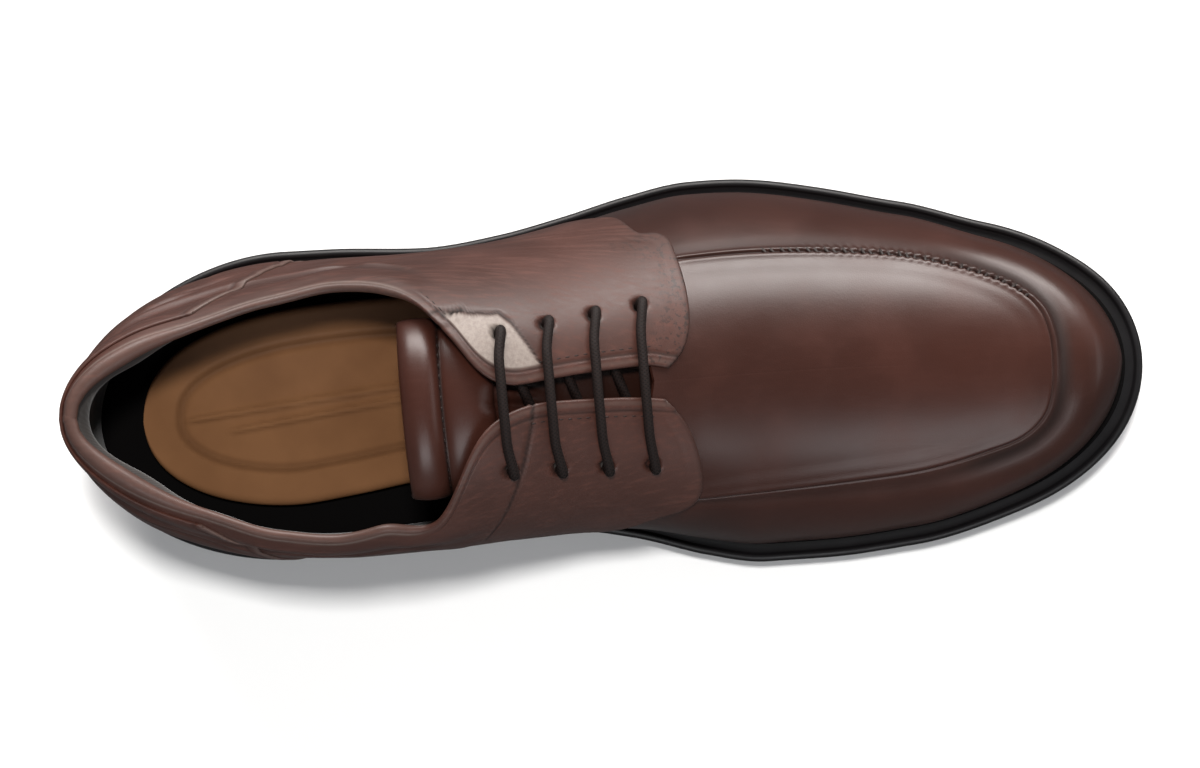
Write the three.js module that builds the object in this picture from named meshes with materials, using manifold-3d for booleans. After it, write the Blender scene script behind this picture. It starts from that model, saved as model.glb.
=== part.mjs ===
// A man's lace-up dress shoe for the left foot, standing empty on its sole.
// Lengths are millimetres. +Y runs from heel to toe, +X to the inner side of the foot, +Z up.
// Everything is worked out from the heel end of the sole, at Y = 0. The finished shoe is then moved
// so that the middle of the floor that it covers is the origin.
import * as THREE from "three";
import { mergeVertices } from "three/addons/utils/BufferGeometryUtils.js";
import Module from "manifold-3d";

const wasm = await Module();
wasm.setup();

// Driving sizes of the sole
const SOLE_LENGTH = 300;
const BALL_WIDTH = 110;
const HEEL_LIFT = 18;
const TOE_SPRING = 9;
const OUTSOLE_THICKNESS = 6.5;
const MIDSOLE_THICKNESS = 3.2;
const WELT_WIDTH = 4.4;
const TOE_WELT = 6.5;
const RIM_HEIGHT = 0.8;
const RIM_WIDTH = 1.9;
const SIDE_GROOVE = 1.1;
const HEEL_BREAST = 82;
const HEEL_TAPER = 2.2;
const LUG_DEPTH = 1.8;
const LUG_GAP = 2.6;
const LUG_PITCH = 9;
const HEEL_LUG_PITCH = 14.4;
const TREAD_START_Y = 136;

// Driving sizes of the upper
const INSTEP_HEIGHT = 76;
const BACK_HEIGHT = 60;
const WALL = 1.8;
const QUARTER_STEP = 1.2;
const COLLAR_PADDING = 1.2;
const COLLAR_BACK_PADDING = 2.9;
const COLLAR_PAD_DEPTH = 18;
const COLLAR_PAD_END_Y = 106;
const HEEL_LEAN = 2.8;
const HEEL_BULGE = 1.2;
const HEEL_BULGE_HEIGHT = 48;
const HEEL_LEAN_END = 0.32;
const HEEL_ROUND = 60;
const TOE_ROUND = 66;
const TOE_CROWN_ROUND = 34;
const TOE_TIP_HEIGHT = 9;
const TOE_CROWN_POWER = 2.4;
const FLARE_HEIGHT = 0.5;
const INNER_SKIRT = 4;
const SEAM_RISE = 0.8;
const SEAM_WIDTH = 2.6;

// Facings, eyelets and lace
const THROAT_Y = 164;
const GAP_WIDTH = 8.6;
const TAB_REACH = 11;
const TAB_WIDTH = 36.5;
const INNER_TAB_WIDTH = 29;
const EYELETS = 4;
const EYELET_PITCH = 12.4;
const FIRST_EYELET_Y = 123.7;
const EYELET_HOLE = 5;
const EYELET_SET = 10.4;
const EYELET_SPREAD = 2.25;
const INNER_EYELET_SET = 17.6;
const LACE = 2.8;
const LACE_END_ASIDE = 4.5;

// Tongue and insole
const TONGUE_WIDTH = 51;
const TONGUE_SLANT = 2;
const TONGUE_TOP_Y = 97.5;
const TONGUE_END_Y = 178;
const TONGUE_THICKNESS = 3;
const TONGUE_ROLL = 7.2;
const TONGUE_ROLL_LENGTH = 14.4;
const TONGUE_NARROWING = 0.2;
const TONGUE_MIDDLE = 4.3;
const INSOLE_THICKNESS = 3.2;
const INSOLE_RIM = 1.8;
const INSOLE_RIM_WIDTH = 8;
const INSOLE_HEEL_GAP = 18;
const INSOLE_TOE_GAP = 15;

// Space left between pieces that touch
const CLEAR = 0.3;

// Outline of the shoe from above, a row for each section from heel to toe. along is the share of the
// sole's length. The other lengths are shares of the ball width, taken from the section's centre to
// the outer and inner side of the foot. welt is how many welt widths the upper stands in from the edge.
const OUTLINE = [
  { along: 0.0, centre: 0.0, soleOut: 0.404, soleIn: 0.373, weltOut: 1.0, weltIn: 1.0 },
  { along: 0.1, centre: 0.0, soleOut: 0.404, soleIn: 0.373, weltOut: 1.0, weltIn: 1.0 },
  { along: 0.15, centre: 0.0, soleOut: 0.405, soleIn: 0.373, weltOut: 1.0, weltIn: 1.0 },
  { along: 0.2, centre: 0.0, soleOut: 0.408, soleIn: 0.37, weltOut: 1.0, weltIn: 1.0 },
  { along: 0.26, centre: -0.002, soleOut: 0.413, soleIn: 0.355, weltOut: 1.0, weltIn: 1.0 },
  { along: 0.33, centre: -0.006, soleOut: 0.41, soleIn: 0.342, weltOut: 1.0, weltIn: 1.05 },
  { along: 0.4, centre: -0.014, soleOut: 0.428, soleIn: 0.338, weltOut: 1.0, weltIn: 1.1 },
  { along: 0.46, centre: -0.018, soleOut: 0.464, soleIn: 0.352, weltOut: 1.0, weltIn: 1.15 },
  { along: 0.52, centre: -0.025, soleOut: 0.503, soleIn: 0.39, weltOut: 1.0, weltIn: 1.2 },
  { along: 0.58, centre: -0.031, soleOut: 0.528, soleIn: 0.444, weltOut: 1.0, weltIn: 1.25 },
  { along: 0.64, centre: -0.038, soleOut: 0.518, soleIn: 0.477, weltOut: 1.0, weltIn: 1.25 },
  { along: 0.71, centre: -0.042, soleOut: 0.481, soleIn: 0.476, weltOut: 1.0, weltIn: 1.25 },
  { along: 0.78, centre: -0.041, soleOut: 0.437, soleIn: 0.455, weltOut: 1.0, weltIn: 1.25 },
  { along: 0.86, centre: -0.038, soleOut: 0.4, soleIn: 0.426, weltOut: 1.05, weltIn: 1.25 },
  { along: 0.93, centre: -0.035, soleOut: 0.4, soleIn: 0.422, weltOut: 1.15, weltIn: 1.3 },
  { along: 1.0, centre: -0.033, soleOut: 0.415, soleIn: 0.425, weltOut: 1.3, weltIn: 1.4 },
];

// Outline of the insole: the distances from the same centre to its outer and inner edge, as shares of
// the ball width.
const BED = [
  { along: 0.0, bedOut: 0.262, bedIn: 0.24 },
  { along: 0.1, bedOut: 0.262, bedIn: 0.242 },
  { along: 0.15, bedOut: 0.266, bedIn: 0.24 },
  { along: 0.2, bedOut: 0.274, bedIn: 0.234 },
  { along: 0.26, bedOut: 0.284, bedIn: 0.214 },
  { along: 0.33, bedOut: 0.29, bedIn: 0.19 },
  { along: 0.4, bedOut: 0.32, bedIn: 0.21 },
  { along: 0.46, bedOut: 0.37, bedIn: 0.25 },
  { along: 0.52, bedOut: 0.41, bedIn: 0.3 },
  { along: 0.58, bedOut: 0.43, bedIn: 0.34 },
  { along: 0.64, bedOut: 0.42, bedIn: 0.37 },
  { along: 0.71, bedOut: 0.39, bedIn: 0.37 },
  { along: 0.78, bedOut: 0.35, bedIn: 0.36 },
  { along: 0.86, bedOut: 0.31, bedIn: 0.33 },
  { along: 0.93, bedOut: 0.3, bedIn: 0.32 },
  { along: 1.0, bedOut: 0.3, bedIn: 0.32 },
];

// Cross-sections of the upper. Each side is one curve from its foot on the sole up over a flare and a
// shoulder, both shares of the half width there, to the crown, a share of the instep height.
const SECTIONS = [
  { along: 0.0, flareOut: 0.05, flareIn: 0.05, shoulderOut: 0.75, shoulderIn: 0.8, crown: 0.92 },
  { along: 0.07, flareOut: 0.05, flareIn: 0.06, shoulderOut: 0.62, shoulderIn: 0.86, crown: 0.92 },
  { along: 0.13, flareOut: 0.05, flareIn: 0.1, shoulderOut: 0.46, shoulderIn: 0.82, crown: 0.92 },
  { along: 0.2, flareOut: 0.05, flareIn: 0.2, shoulderOut: 0.6, shoulderIn: 1.02, crown: 0.935 },
  { along: 0.27, flareOut: 0.05, flareIn: 0.36, shoulderOut: 0.78, shoulderIn: 1.18, crown: 0.975 },
  { along: 0.34, flareOut: 0.05, flareIn: 0.46, shoulderOut: 0.86, shoulderIn: 1.18, crown: 1.0 },
  { along: 0.41, flareOut: 0.05, flareIn: 0.5, shoulderOut: 0.75, shoulderIn: 1.03, crown: 0.97 },
  { along: 0.48, flareOut: 0.04, flareIn: 0.34, shoulderOut: 0.66, shoulderIn: 0.84, crown: 0.885 },
  { along: 0.56, flareOut: 0.04, flareIn: 0.14, shoulderOut: 0.62, shoulderIn: 0.7, crown: 0.775 },
  { along: 0.66, flareOut: 0.03, flareIn: 0.05, shoulderOut: 0.62, shoulderIn: 0.64, crown: 0.645 },
  { along: 0.78, flareOut: 0.03, flareIn: 0.04, shoulderOut: 0.66, shoulderIn: 0.68, crown: 0.52 },
  { along: 0.9, flareOut: 0.03, flareIn: 0.03, shoulderOut: 0.72, shoulderIn: 0.74, crown: 0.405 },
  { along: 1.0, flareOut: 0.03, flareIn: 0.03, shoulderOut: 0.75, shoulderIn: 0.76, crown: 0.33 },
];

// How far the sole is lifted by its heel, and by the toe spring, along its length.
const SOLE_SIDE = [
  { along: 0.0, heel: 1.0, spring: 0 },
  { along: 0.13, heel: 0.985, spring: 0 },
  { along: 0.2, heel: 0.93, spring: 0 },
  { along: 0.28, heel: 0.8, spring: 0 },
  { along: 0.35, heel: 0.6, spring: 0 },
  { along: 0.42, heel: 0.38, spring: 0 },
  { along: 0.49, heel: 0.17, spring: 0 },
  { along: 0.55, heel: 0.04, spring: 0 },
  { along: 0.59, heel: 0, spring: 0 },
  { along: 0.65, heel: 0, spring: 0 },
  { along: 0.71, heel: 0, spring: 0 },
  { along: 0.78, heel: 0, spring: 0.08 },
  { along: 0.86, heel: 0, spring: 0.32 },
  { along: 0.93, heel: 0, spring: 0.64 },
  { along: 1.0, heel: 0, spring: 1.0 },
];

// The collar's edge from the side: rise is its height over the seat, a share of the back height.
const TOPLINE = [
  { along: -0.04, rise: 1.01 },
  { along: 0.02, rise: 0.99 },
  { along: 0.07, rise: 0.955 },
  { along: 0.13, rise: 0.885 },
  { along: 0.19, rise: 0.845 },
  { along: 0.24, rise: 0.84 },
  { along: 0.29, rise: 0.885 },
  { along: 0.325, rise: 0.96 },
  { along: 0.355, rise: 1.055 },
  { along: 0.38, rise: 1.13 },
  { along: 0.42, rise: 1.35 },
];

// The gap between the facings from above, from the throat back to the collar: back is the way from
// the throat as a share of the way to the tongue's top, and out and inn the distance past the gap's
// edge on the outer and inner side of the foot, as shares of the tongue's width.
const GAP_EDGE = [
  { back: 0.0, out: 0.03, inn: 0.01 },
  { back: 0.28, out: 0.0, inn: 0.0 },
  { back: 0.45, out: -0.03, inn: 0.01 },
  { back: 0.55, out: -0.055, inn: 0.045 },
  { back: 0.61, out: -0.04, inn: 0.095 },
  { back: 0.66, out: 0.01, inn: 0.155 },
  { back: 0.72, out: 0.1, inn: 0.25 },
  { back: 0.78, out: 0.22, inn: 0.39 },
  { back: 0.83, out: 0.33, inn: 0.52 },
  { back: 0.88, out: 0.4, inn: 0.565 },
  { back: 0.93, out: 0.42, inn: 0.58 },
];

// The front edge of each quarter's tab from above, from the gap out to its corner: across is a share
// of the tab's width, and out and inn the distance ahead of the throat on the outer and inner side of
// the foot, as shares of the tab's reach.
const TAB_EDGE = [
  { across: 0.0, out: 0.2, inn: 0.15 },
  { across: 0.05, out: 0.45, inn: 0.35 },
  { across: 0.14, out: 0.68, inn: 0.55 },
  { across: 0.28, out: 0.88, inn: 0.74 },
  { across: 0.45, out: 0.93, inn: 0.89 },
  { across: 0.62, out: 0.84, inn: 0.95 },
  { across: 0.78, out: 0.66, inn: 0.96 },
  { across: 0.9, out: 0.5, inn: 0.93 },
  { across: 0.97, out: 0.36, inn: 0.82 },
  { across: 1.0, out: 0.15, inn: 0.55 },
];

// The quarter's front edge from the side, below its tab: up is the height over the seat as a share of
// the instep height, behind the distance behind the throat as a share of the tab's reach.
const SIDE_EDGE = [
  { up: -0.5, behind: 3.5 },
  { up: 0.0, behind: 3.1 },
  { up: 0.25, behind: 2.5 },
  { up: 0.45, behind: 1.9 },
  { up: 0.62, behind: 1.2 },
  { up: 0.8, behind: 0.8 },
  { up: 2.0, behind: 0.6 },
];

// The apron seam from above: along is the share of the sole's length, out and inn the distance from
// the section's centre as shares of the ball width.
const APRON = [
  { along: 0.545, out: 0.292, inn: 0.3 },
  { along: 0.64, out: 0.302, inn: 0.3 },
  { along: 0.72, out: 0.292, inn: 0.288 },
  { along: 0.79, out: 0.27, inn: 0.266 },
  { along: 0.845, out: 0.228, inn: 0.228 },
  { along: 0.882, out: 0.18, inn: 0.19 },
  { along: 0.905, out: 0.115, inn: 0.13 },
  { along: 0.912, out: 0.04, inn: 0.05 },
];

// The outsole's side from tread to top: up is a share of its thickness, step the share of the side
// groove's depth by which it stands in.
const OUTSOLE_SIDE = [
  { up: 0.0, step: 1.4 },
  { up: 0.16, step: 0.5 },
  { up: 0.5, step: 0.3 },
  { up: 0.56, step: 1.3 },
  { up: 0.68, step: 1.3 },
  { up: 0.74, step: 0.3 },
  { up: 1.0, step: 0.2 },
];

const OUTER = -1;
const INNER = 1;
const SEAT_HEIGHT = OUTSOLE_THICKNESS + CLEAR + MIDSOLE_THICKNESS;

// A column of a table where its along column has the value at, by a smooth curve through the rows.
function column(rows, name, at) {
  let k = 0;
  while (k < rows.length - 2 && at > rows[k + 1].along) k++;
  const row = (i) => rows[Math.min(Math.max(i, 0), rows.length - 1)];
  const span = row(k + 1).along - row(k).along;
  const t = Math.min(Math.max((at - row(k).along) / span, 0), 1);
  const slope = (i) => {
    const before = row(i)[name] - row(i - 1)[name];
    const after = row(i + 1)[name] - row(i)[name];
    if (before * after <= 0) return 0;
    return (before + after) / (row(i + 1).along - row(i - 1).along);
  };
  const [a, b] = [row(k)[name], row(k + 1)[name]];
  const [c, d] = [slope(k) * span, slope(k + 1) * span];
  return a + t * (c + t * (3 * (b - a) - 2 * c - d + t * (2 * (a - b) + c + d)));
}

const outline = (name, y, rows = OUTLINE) => column(rows, name, y / SOLE_LENGTH) * BALL_WIDTH;
const section = (name, y) => column(SECTIONS, name, y / SOLE_LENGTH);
const sidewise = (name, side) => name + (side === OUTER ? "Out" : "In");
const soleFoot = (y) =>
  column(SOLE_SIDE, "heel", y / SOLE_LENGTH) * HEEL_LIFT +
  column(SOLE_SIDE, "spring", y / SOLE_LENGTH) * TOE_SPRING;
const seat = (y) => soleFoot(y) + SEAT_HEIGHT;
const topline = (y) => seat(0) + column(TOPLINE, "rise", y / SOLE_LENGTH) * BACK_HEIGHT;
const centreX = (y) => outline("centre", y);
const clamp01 = (t) => Math.min(Math.max(t, 0), 1);
const smooth = (t) => clamp01(t) ** 2 * (3 - 2 * clamp01(t));

// How far an outline is drawn in near an end that is rounded off, as a quarter of an ellipse.
const roundEnd = (depth, radius) => Math.sqrt(1 - (1 - clamp01(depth / radius)) ** 2);

// A manifold-3d solid from points and triangles, its shared points merged and its faces outwards.
function solidFrom(points, triangles) {
  const loose = new THREE.BufferGeometry();
  loose.setAttribute("position", new THREE.Float32BufferAttribute(points.flat(), 3));
  loose.setIndex(triangles.flat());
  const merged = mergeVertices(loose, 1e-4);
  const index = merged.index.array;
  const kept = [];
  for (let i = 0; i < index.length; i += 3) {
    const [a, b, c] = [index[i], index[i + 1], index[i + 2]];
    if (a !== b && b !== c && a !== c) kept.push([a, b, c]);
  }
  const make = (faces) =>
    new wasm.Manifold(
      new wasm.Mesh({
        numProp: 3,
        vertProperties: merged.attributes.position.array,
        triVerts: new Uint32Array(faces.flat()),
      }),
    );
  const solid = make(kept);
  return solid.volume() > 0 ? solid : make(kept.map(([a, b, c]) => [b, a, c]));
}

// The solid of a geometry class's shape.
function solidOf(geometry) {
  const p = geometry.attributes.position;
  const points = Array.from({ length: p.count }, (_, i) => [p.getX(i), p.getY(i), p.getZ(i)]);
  const order = geometry.index ? geometry.index.array : points.map((_, i) => i);
  const triangles = [];
  for (let i = 0; i < order.length; i += 3) triangles.push([order[i], order[i + 1], order[i + 2]]);
  return solidFrom(points, triangles);
}

// A solid of closed rings of points one above another. A ring runs up one side of the shoe and down
// the other, so each end is closed by strips straight across.
function ringSolid(rings) {
  const n = rings[0].length;
  const triangles = [];
  for (let k = 0; k < rings.length - 1; k++)
    for (let j = 0; j < n; j++) {
      const [a, b] = [k * n + j, k * n + ((j + 1) % n)];
      triangles.push([a, b, b + n], [a, b + n, a + n]);
    }
  const cap = (base, turn) => {
    for (let i = 0; i < n / 2 - 1; i++) {
      const [a, b, c, d] = [base + i, base + i + 1, base + n - 2 - i, base + n - 1 - i];
      triangles.push(turn ? [a, c, b] : [a, b, c], turn ? [a, d, c] : [a, c, d]);
    }
  };
  cap(0, true);
  cap((rings.length - 1) * n, false);
  return solidFrom(rings.flat(), triangles);
}

// An upright prism over an outline from above, and one right across over an outline from the side.
function prism(points, depth) {
  const shape = new THREE.Shape(points.map(([a, b]) => new THREE.Vector2(a, b)));
  return new THREE.ExtrudeGeometry(shape, { depth, bevelEnabled: false, steps: 1 });
}
const TALL = 2 * (BACK_HEIGHT + INSTEP_HEIGHT + HEEL_LIFT);
const uprightPrism = (points) => solidOf(prism(points, TALL).translate(0, 0, -TALL / 4));
function crosswisePrism(points) {
  const turn = new THREE.Matrix4().makeBasis(
    new THREE.Vector3(0, 1, 0), new THREE.Vector3(0, 0, 1), new THREE.Vector3(1, 0, 0),
  );
  return solidOf(prism(points, 2 * BALL_WIDTH).translate(0, 0, -BALL_WIDTH).applyMatrix4(turn));
}

// One closed ring of the shoe's outline, stood in from the edge by an inset. Its height is a function
// of y. Points lie closer together at a rounded end.
function outlineRing({ name, rows, inset, from, to, flatFront = false, height, count }) {
  const [heel, toe] = [from + inset, flatFront ? to : to - inset];
  const point = (i, side) => {
    const turn = flatFront ? (Math.PI / 2) * (i / count) : Math.PI * (i / count);
    const share = flatFront ? 1 - Math.cos(turn) : (1 - Math.cos(turn)) / 2;
    const y = heel + (toe - heel) * share;
    const half = outline(sidewise(name, side), y, rows) - inset;
    const ends = roundEnd(y - heel, HEEL_ROUND - inset) *
      (flatFront ? 1 : roundEnd(toe - y, TOE_ROUND - inset));
    return [centreX(y) + side * half * ends, y, height(y)];
  };
  const ring = [];
  for (let i = 0; i <= count; i++) ring.push(point(i, OUTER));
  for (let i = count; i >= 0; i--) ring.push(point(i, INNER));
  return ring;
}
const soleRings = (levels, options = {}) =>
  ringSolid(levels.map((level) =>
    outlineRing({ name: "sole", from: 0, to: SOLE_LENGTH, count: 30, ...options, ...level })));

// Point of the upper's surface. share runs from heel to toe, and turn from 0 at the outer foot over
// the crown at a half to 1 at the inner foot. grow moves the surface outwards.
function upperPoint(share, turn, grow) {
  const [heel, toe] = [WELT_WIDTH - grow, SOLE_LENGTH - TOE_WELT + grow];
  const y = heel + (toe - heel) * share;
  const side = turn < 0.5 ? OUTER : INNER;
  const t = 1 - Math.abs(2 * turn - 1);
  const welt = column(OUTLINE, sidewise("welt", side), y / SOLE_LENGTH) * WELT_WIDTH;
  const foot = outline(sidewise("sole", side), y) - welt;
  const flare = foot * (1 + section(sidewise("flare", side), y)) + grow;
  const shoulder = foot * section(sidewise("shoulder", side), y) + grow / 2;
  const full = section("crown", y) * INSTEP_HEIGHT;
  const front = clamp01(1 - (toe - y) / TOE_CROWN_ROUND);
  const fall = Math.sqrt(1 - front ** TOE_CROWN_POWER);
  const crown = TOE_TIP_HEIGHT + (full - TOE_TIP_HEIGHT) * fall + grow;
  const climb = crown * FLARE_HEIGHT;
  const ends = roundEnd(y - heel, HEEL_ROUND - WELT_WIDTH + grow) *
    roundEnd(toe - y, TOE_ROUND - TOE_WELT + grow);
  const [p, q, r, s] = [(1 - t) ** 3, 3 * t * (1 - t) ** 2, 3 * t ** 2 * (1 - t), t ** 3];
  const rise = q * climb + (r + s) * crown;
  const half = p * (foot + grow) + q * flare + r * shoulder;
  const rear = (1 - clamp01(share / HEEL_LEAN_END)) ** 1.5;
  const bulge = HEEL_BULGE * Math.sin(Math.PI * clamp01(rise / HEEL_BULGE_HEIGHT));
  const lean = HEEL_LEAN * (rise / BACK_HEIGHT) ** 2 - bulge;
  return [centreX(y) + side * half * ends, y + rear * lean, seat(y) + CLEAR + rise];
}

// The space inside one skin of the upper. skirt carries it down below the seat. A padded skin stands
// further in towards the collar's edge.
function upperSkin(grow, { skirt = 0, padded = false } = {}) {
  const [along, around] = [40, 24];
  const rings = [];
  for (let i = 0; i <= along; i++) {
    const share = (1 - Math.cos((Math.PI * i) / along)) / 2;
    const ring = [];
    for (let j = 0; j <= around; j++) {
      const bare = upperPoint(share, j / around, grow);
      const near = smooth(1 - (topline(bare[1]) - bare[2]) / COLLAR_PAD_DEPTH);
      const behindFacing = smooth((COLLAR_PAD_END_Y - bare[1]) / TAB_REACH);
      const rear = 1 - clamp01(share / HEEL_LEAN_END);
      const padding = COLLAR_PADDING * (1 - rear) + COLLAR_BACK_PADDING * rear;
      ring.push(upperPoint(share, j / around, grow - (padded ? padding * near * behindFacing : 0)));
    }
    const [first, last] = [ring[0], ring[ring.length - 1]];
    ring.unshift([first[0], first[1], first[2] - skirt]);
    ring.push([last[0], last[1], last[2] - skirt]);
    rings.push(ring);
  }
  return skinSolid(rings);
}

// A solid from cross-sections along the shoe, each an open row of points from foot to foot that is
// closed straight across below.
function skinSolid(rows) {
  const n = rows[0].length;
  const triangles = [];
  for (let i = 0; i < rows.length - 1; i++)
    for (let j = 0; j < n; j++) {
      const [a, b] = [i * n + j, i * n + ((j + 1) % n)];
      triangles.push([a, b, b + n], [a, b + n, a + n]);
    }
  const fan = (base, turn) => {
    for (let j = 1; j < n - 1; j++)
      triangles.push(turn ? [base, base + j + 1, base + j] : [base, base + j, base + j + 1]);
  };
  fan(0, true);
  fan((rows.length - 1) * n, false);
  return solidFrom(rows.flat(), triangles);
}

// The upper's surface at a place given from above, found by halving.
function over(x, y, grow) {
  const [heel, toe] = [WELT_WIDTH - grow, SOLE_LENGTH - TOE_WELT + grow];
  const share = (y - heel) / (toe - heel);
  const side = x < centreX(y) ? OUTER : INNER;
  const turn = (t) => (side === OUTER ? t / 2 : 1 - t / 2);
  let [low, high] = [0.3, 1];
  for (let k = 0; k < 30; k++) {
    const mid = (low + high) / 2;
    if (side * (upperPoint(share, turn(mid), grow)[0] - x) > 0) low = mid;
    else high = mid;
  }
  return new THREE.Vector3(...upperPoint(share, turn(low), grow));
}

const gapX = (side) => centreX(THROAT_Y) + GAP_WIDTH / 8 + (side * GAP_WIDTH) / 2;

// What is cut away over the collar's edge, between the facings and ahead of the quarters.
function overCollar() {
  const steps = 40;
  const [from, to] = [TOPLINE[0].along, TOPLINE[TOPLINE.length - 1].along];
  const edge = Array.from({ length: steps + 1 }, (_, i) => {
    const y = (from + ((to - from) * i) / steps) * SOLE_LENGTH;
    return [y, topline(y)];
  });
  return crosswisePrism([...edge, [to * SOLE_LENGTH, TALL], [from * SOLE_LENGTH, TALL]]);
}
function betweenFacings() {
  const reach = THROAT_Y - TONGUE_TOP_Y;
  const edge = (side, name) =>
    GAP_EDGE.map((row) => [gapX(side) + side * row[name] * TONGUE_WIDTH, THROAT_Y - row.back * reach]);
  return uprightPrism([...edge(INNER, "inn"), ...edge(OUTER, "out").reverse()]);
}
function aheadOfQuarters() {
  const edge = (side, name, width) =>
    TAB_EDGE.map((row) => [gapX(side) + side * row.across * width, THROAT_Y + row[name] * TAB_REACH]);
  const [outer, inner] = [edge(OUTER, "out", TAB_WIDTH), edge(INNER, "inn", INNER_TAB_WIDTH)];
  const [left, right] = [outer[outer.length - 1][0], inner[inner.length - 1][0]];
  const far = 2 * SOLE_LENGTH;
  const offTabs = uprightPrism([
    [left, 0], ...outer.reverse(), ...inner, [right, 0], [BALL_WIDTH, 0], [BALL_WIDTH, far],
    [-BALL_WIDTH, far], [-BALL_WIDTH, 0],
  ]);
  const line = SIDE_EDGE.map(({ up, behind }) => [
    THROAT_Y - behind * TAB_REACH, SEAT_HEIGHT + up * INSTEP_HEIGHT,
  ]);
  return offTabs.intersect(crosswisePrism([...line, [far, line[line.length - 1][1]], [far, line[0][1]]]));
}

// The band that the raised apron seam fills, from above.
function apronBand() {
  const edge = (offset) => {
    const line = (side, name) =>
      APRON.map((row, i) => {
        const ahead = offset * clamp01((i - 4) / 3);
        const out = offset * (1 - clamp01((i - 5) / 3));
        const y = row.along * SOLE_LENGTH + ahead;
        return [centreX(y) + side * (row[name] * BALL_WIDTH + out), y];
      });
    return uprightPrism([...line(OUTER, "out"), ...line(INNER, "inn").reverse()]);
  };
  return edge(SEAM_WIDTH / 2).subtract(edge(-SEAM_WIDTH / 2));
}

// Places of the eyelets from above, counted from the top of the facings.
function eyeletAt(i, side) {
  const y = FIRST_EYELET_Y + i * EYELET_PITCH + (side === INNER ? LACE / 2 : 0);
  const set = side === OUTER ? EYELET_SET + i * EYELET_SPREAD : INNER_EYELET_SET;
  return new THREE.Vector2(gapX(side) + side * set, y);
}

// The direction out of the upper at a place given from above.
function outwards(x, y, grow) {
  const [here, ahead, aside] = [over(x, y, grow), over(x, y + 1, grow), over(x + 1, y, grow)];
  const normal = aside.sub(here).cross(ahead.sub(here)).normalize();
  return { here, normal };
}

function eyeletPunch(i, side) {
  const place = eyeletAt(i, side);
  const { here, normal } = outwards(place.x, place.y, 0);
  const depth = 6 * (WALL + QUARTER_STEP);
  const punch = new THREE.CylinderGeometry(EYELET_HOLE / 2, EYELET_HOLE / 2, depth, 10);
  punch.applyQuaternion(new THREE.Quaternion().setFromUnitVectors(new THREE.Vector3(0, 1, 0), normal));
  return solidOf(punch.translate(here.x, here.y, here.z));
}

// Vamp and quarters in one hollow piece: the quarters stand proud of the vamp by a step, and the
// apron seam is a raised line on the vamp.
function upper() {
  let body = upperSkin(0);
  body = body.add(upperSkin(QUARTER_STEP).subtract(aheadOfQuarters()));
  body = body.add(upperSkin(SEAM_RISE).intersect(apronBand().intersect(aheadOfQuarters())));
  body = body.subtract(upperSkin(-WALL, { skirt: INNER_SKIRT, padded: true }));
  body = body.subtract(overCollar()).subtract(betweenFacings());
  for (let i = 0; i < EYELETS; i++)
    for (const side of [OUTER, INNER]) body = body.subtract(eyeletPunch(i, side));
  return body;
}

// The outsole with its side groove and the lugs of its tread.
function outsole() {
  let body = soleRings(OUTSOLE_SIDE.map(({ up, step }) => ({
    inset: step * SIDE_GROOVE,
    height: (y) => soleFoot(y) + up * OUTSOLE_THICKNESS,
  })));
  const last = SOLE_LENGTH - TOE_WELT - LUG_PITCH;
  for (let y = TREAD_START_Y; y < last; y += LUG_PITCH) body = body.subtract(lugGap(y, soleFoot(y)));
  return body;
}

// A gap between two lugs, right across the tread.
function lugGap(y, foot) {
  const height = 4 * LUG_DEPTH;
  const bar = new THREE.BoxGeometry(2 * BALL_WIDTH, LUG_GAP, height);
  return solidOf(bar.translate(0, y, foot + LUG_DEPTH - height / 2));
}

// The midsole, whose rim shows as the welt and stands round the foot of the upper.
function midsole() {
  const foot = (y) => seat(y) - MIDSOLE_THICKNESS;
  return soleRings([
    { inset: SIDE_GROOVE / 2, height: foot },
    { inset: 0, height: (y) => foot(y) + MIDSOLE_THICKNESS / 3 },
    { inset: 0, height: (y) => seat(y) - RIM_HEIGHT / 2 },
    { inset: RIM_WIDTH / 2, height: (y) => seat(y) + RIM_HEIGHT },
    { inset: RIM_WIDTH, height: (y) => seat(y) + RIM_HEIGHT },
    { inset: WELT_WIDTH - QUARTER_STEP - 2 * CLEAR, height: seat },
  ]);
}

// The heel with its top piece, flat on the floor, and a straight breast.
function heel() {
  const top = (y) => soleFoot(y) - CLEAR;
  const level = (share, inset) => ({ inset, height: (y) => share * top(y) });
  const flat = (height, inset) => ({ inset, height: () => height });
  const topPiece = HEEL_LIFT / 3;
  const groove = HEEL_TAPER * 0.8;
  let body = soleRings([
    flat(0, HEEL_TAPER),
    flat(topPiece, groove),
    flat(topPiece, groove + SIDE_GROOVE / 2),
    flat(topPiece + SIDE_GROOVE, groove + SIDE_GROOVE / 2),
    flat(topPiece + SIDE_GROOVE, groove),
    level(1, SIDE_GROOVE),
  ], { to: HEEL_BREAST, flatFront: true, count: 16 });
  const last = HEEL_BREAST - LUG_PITCH / 2;
  for (let y = HEEL_LUG_PITCH; y < last; y += HEEL_LUG_PITCH) body = body.subtract(lugGap(y, 0));
  return body;
}

// The moulded insole with its raised rim.
function insole() {
  const at = (inset, lift) => ({
    name: "bed", rows: BED, inset, from: INSOLE_HEEL_GAP, to: SOLE_LENGTH - INSOLE_TOE_GAP, count: 24,
    height: (y) => seat(y) + CLEAR + lift,
  });
  const top = INSOLE_THICKNESS + INSOLE_RIM;
  return ringSolid([
    at(INSOLE_RIM / 2, 0), at(0, top / 2), at(INSOLE_RIM / 2, top * 0.9), at(INSOLE_RIM, top),
    at(INSOLE_RIM_WIDTH * 0.8, top), at(INSOLE_RIM_WIDTH, INSOLE_THICKNESS),
  ].map(outlineRing));
}

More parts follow.
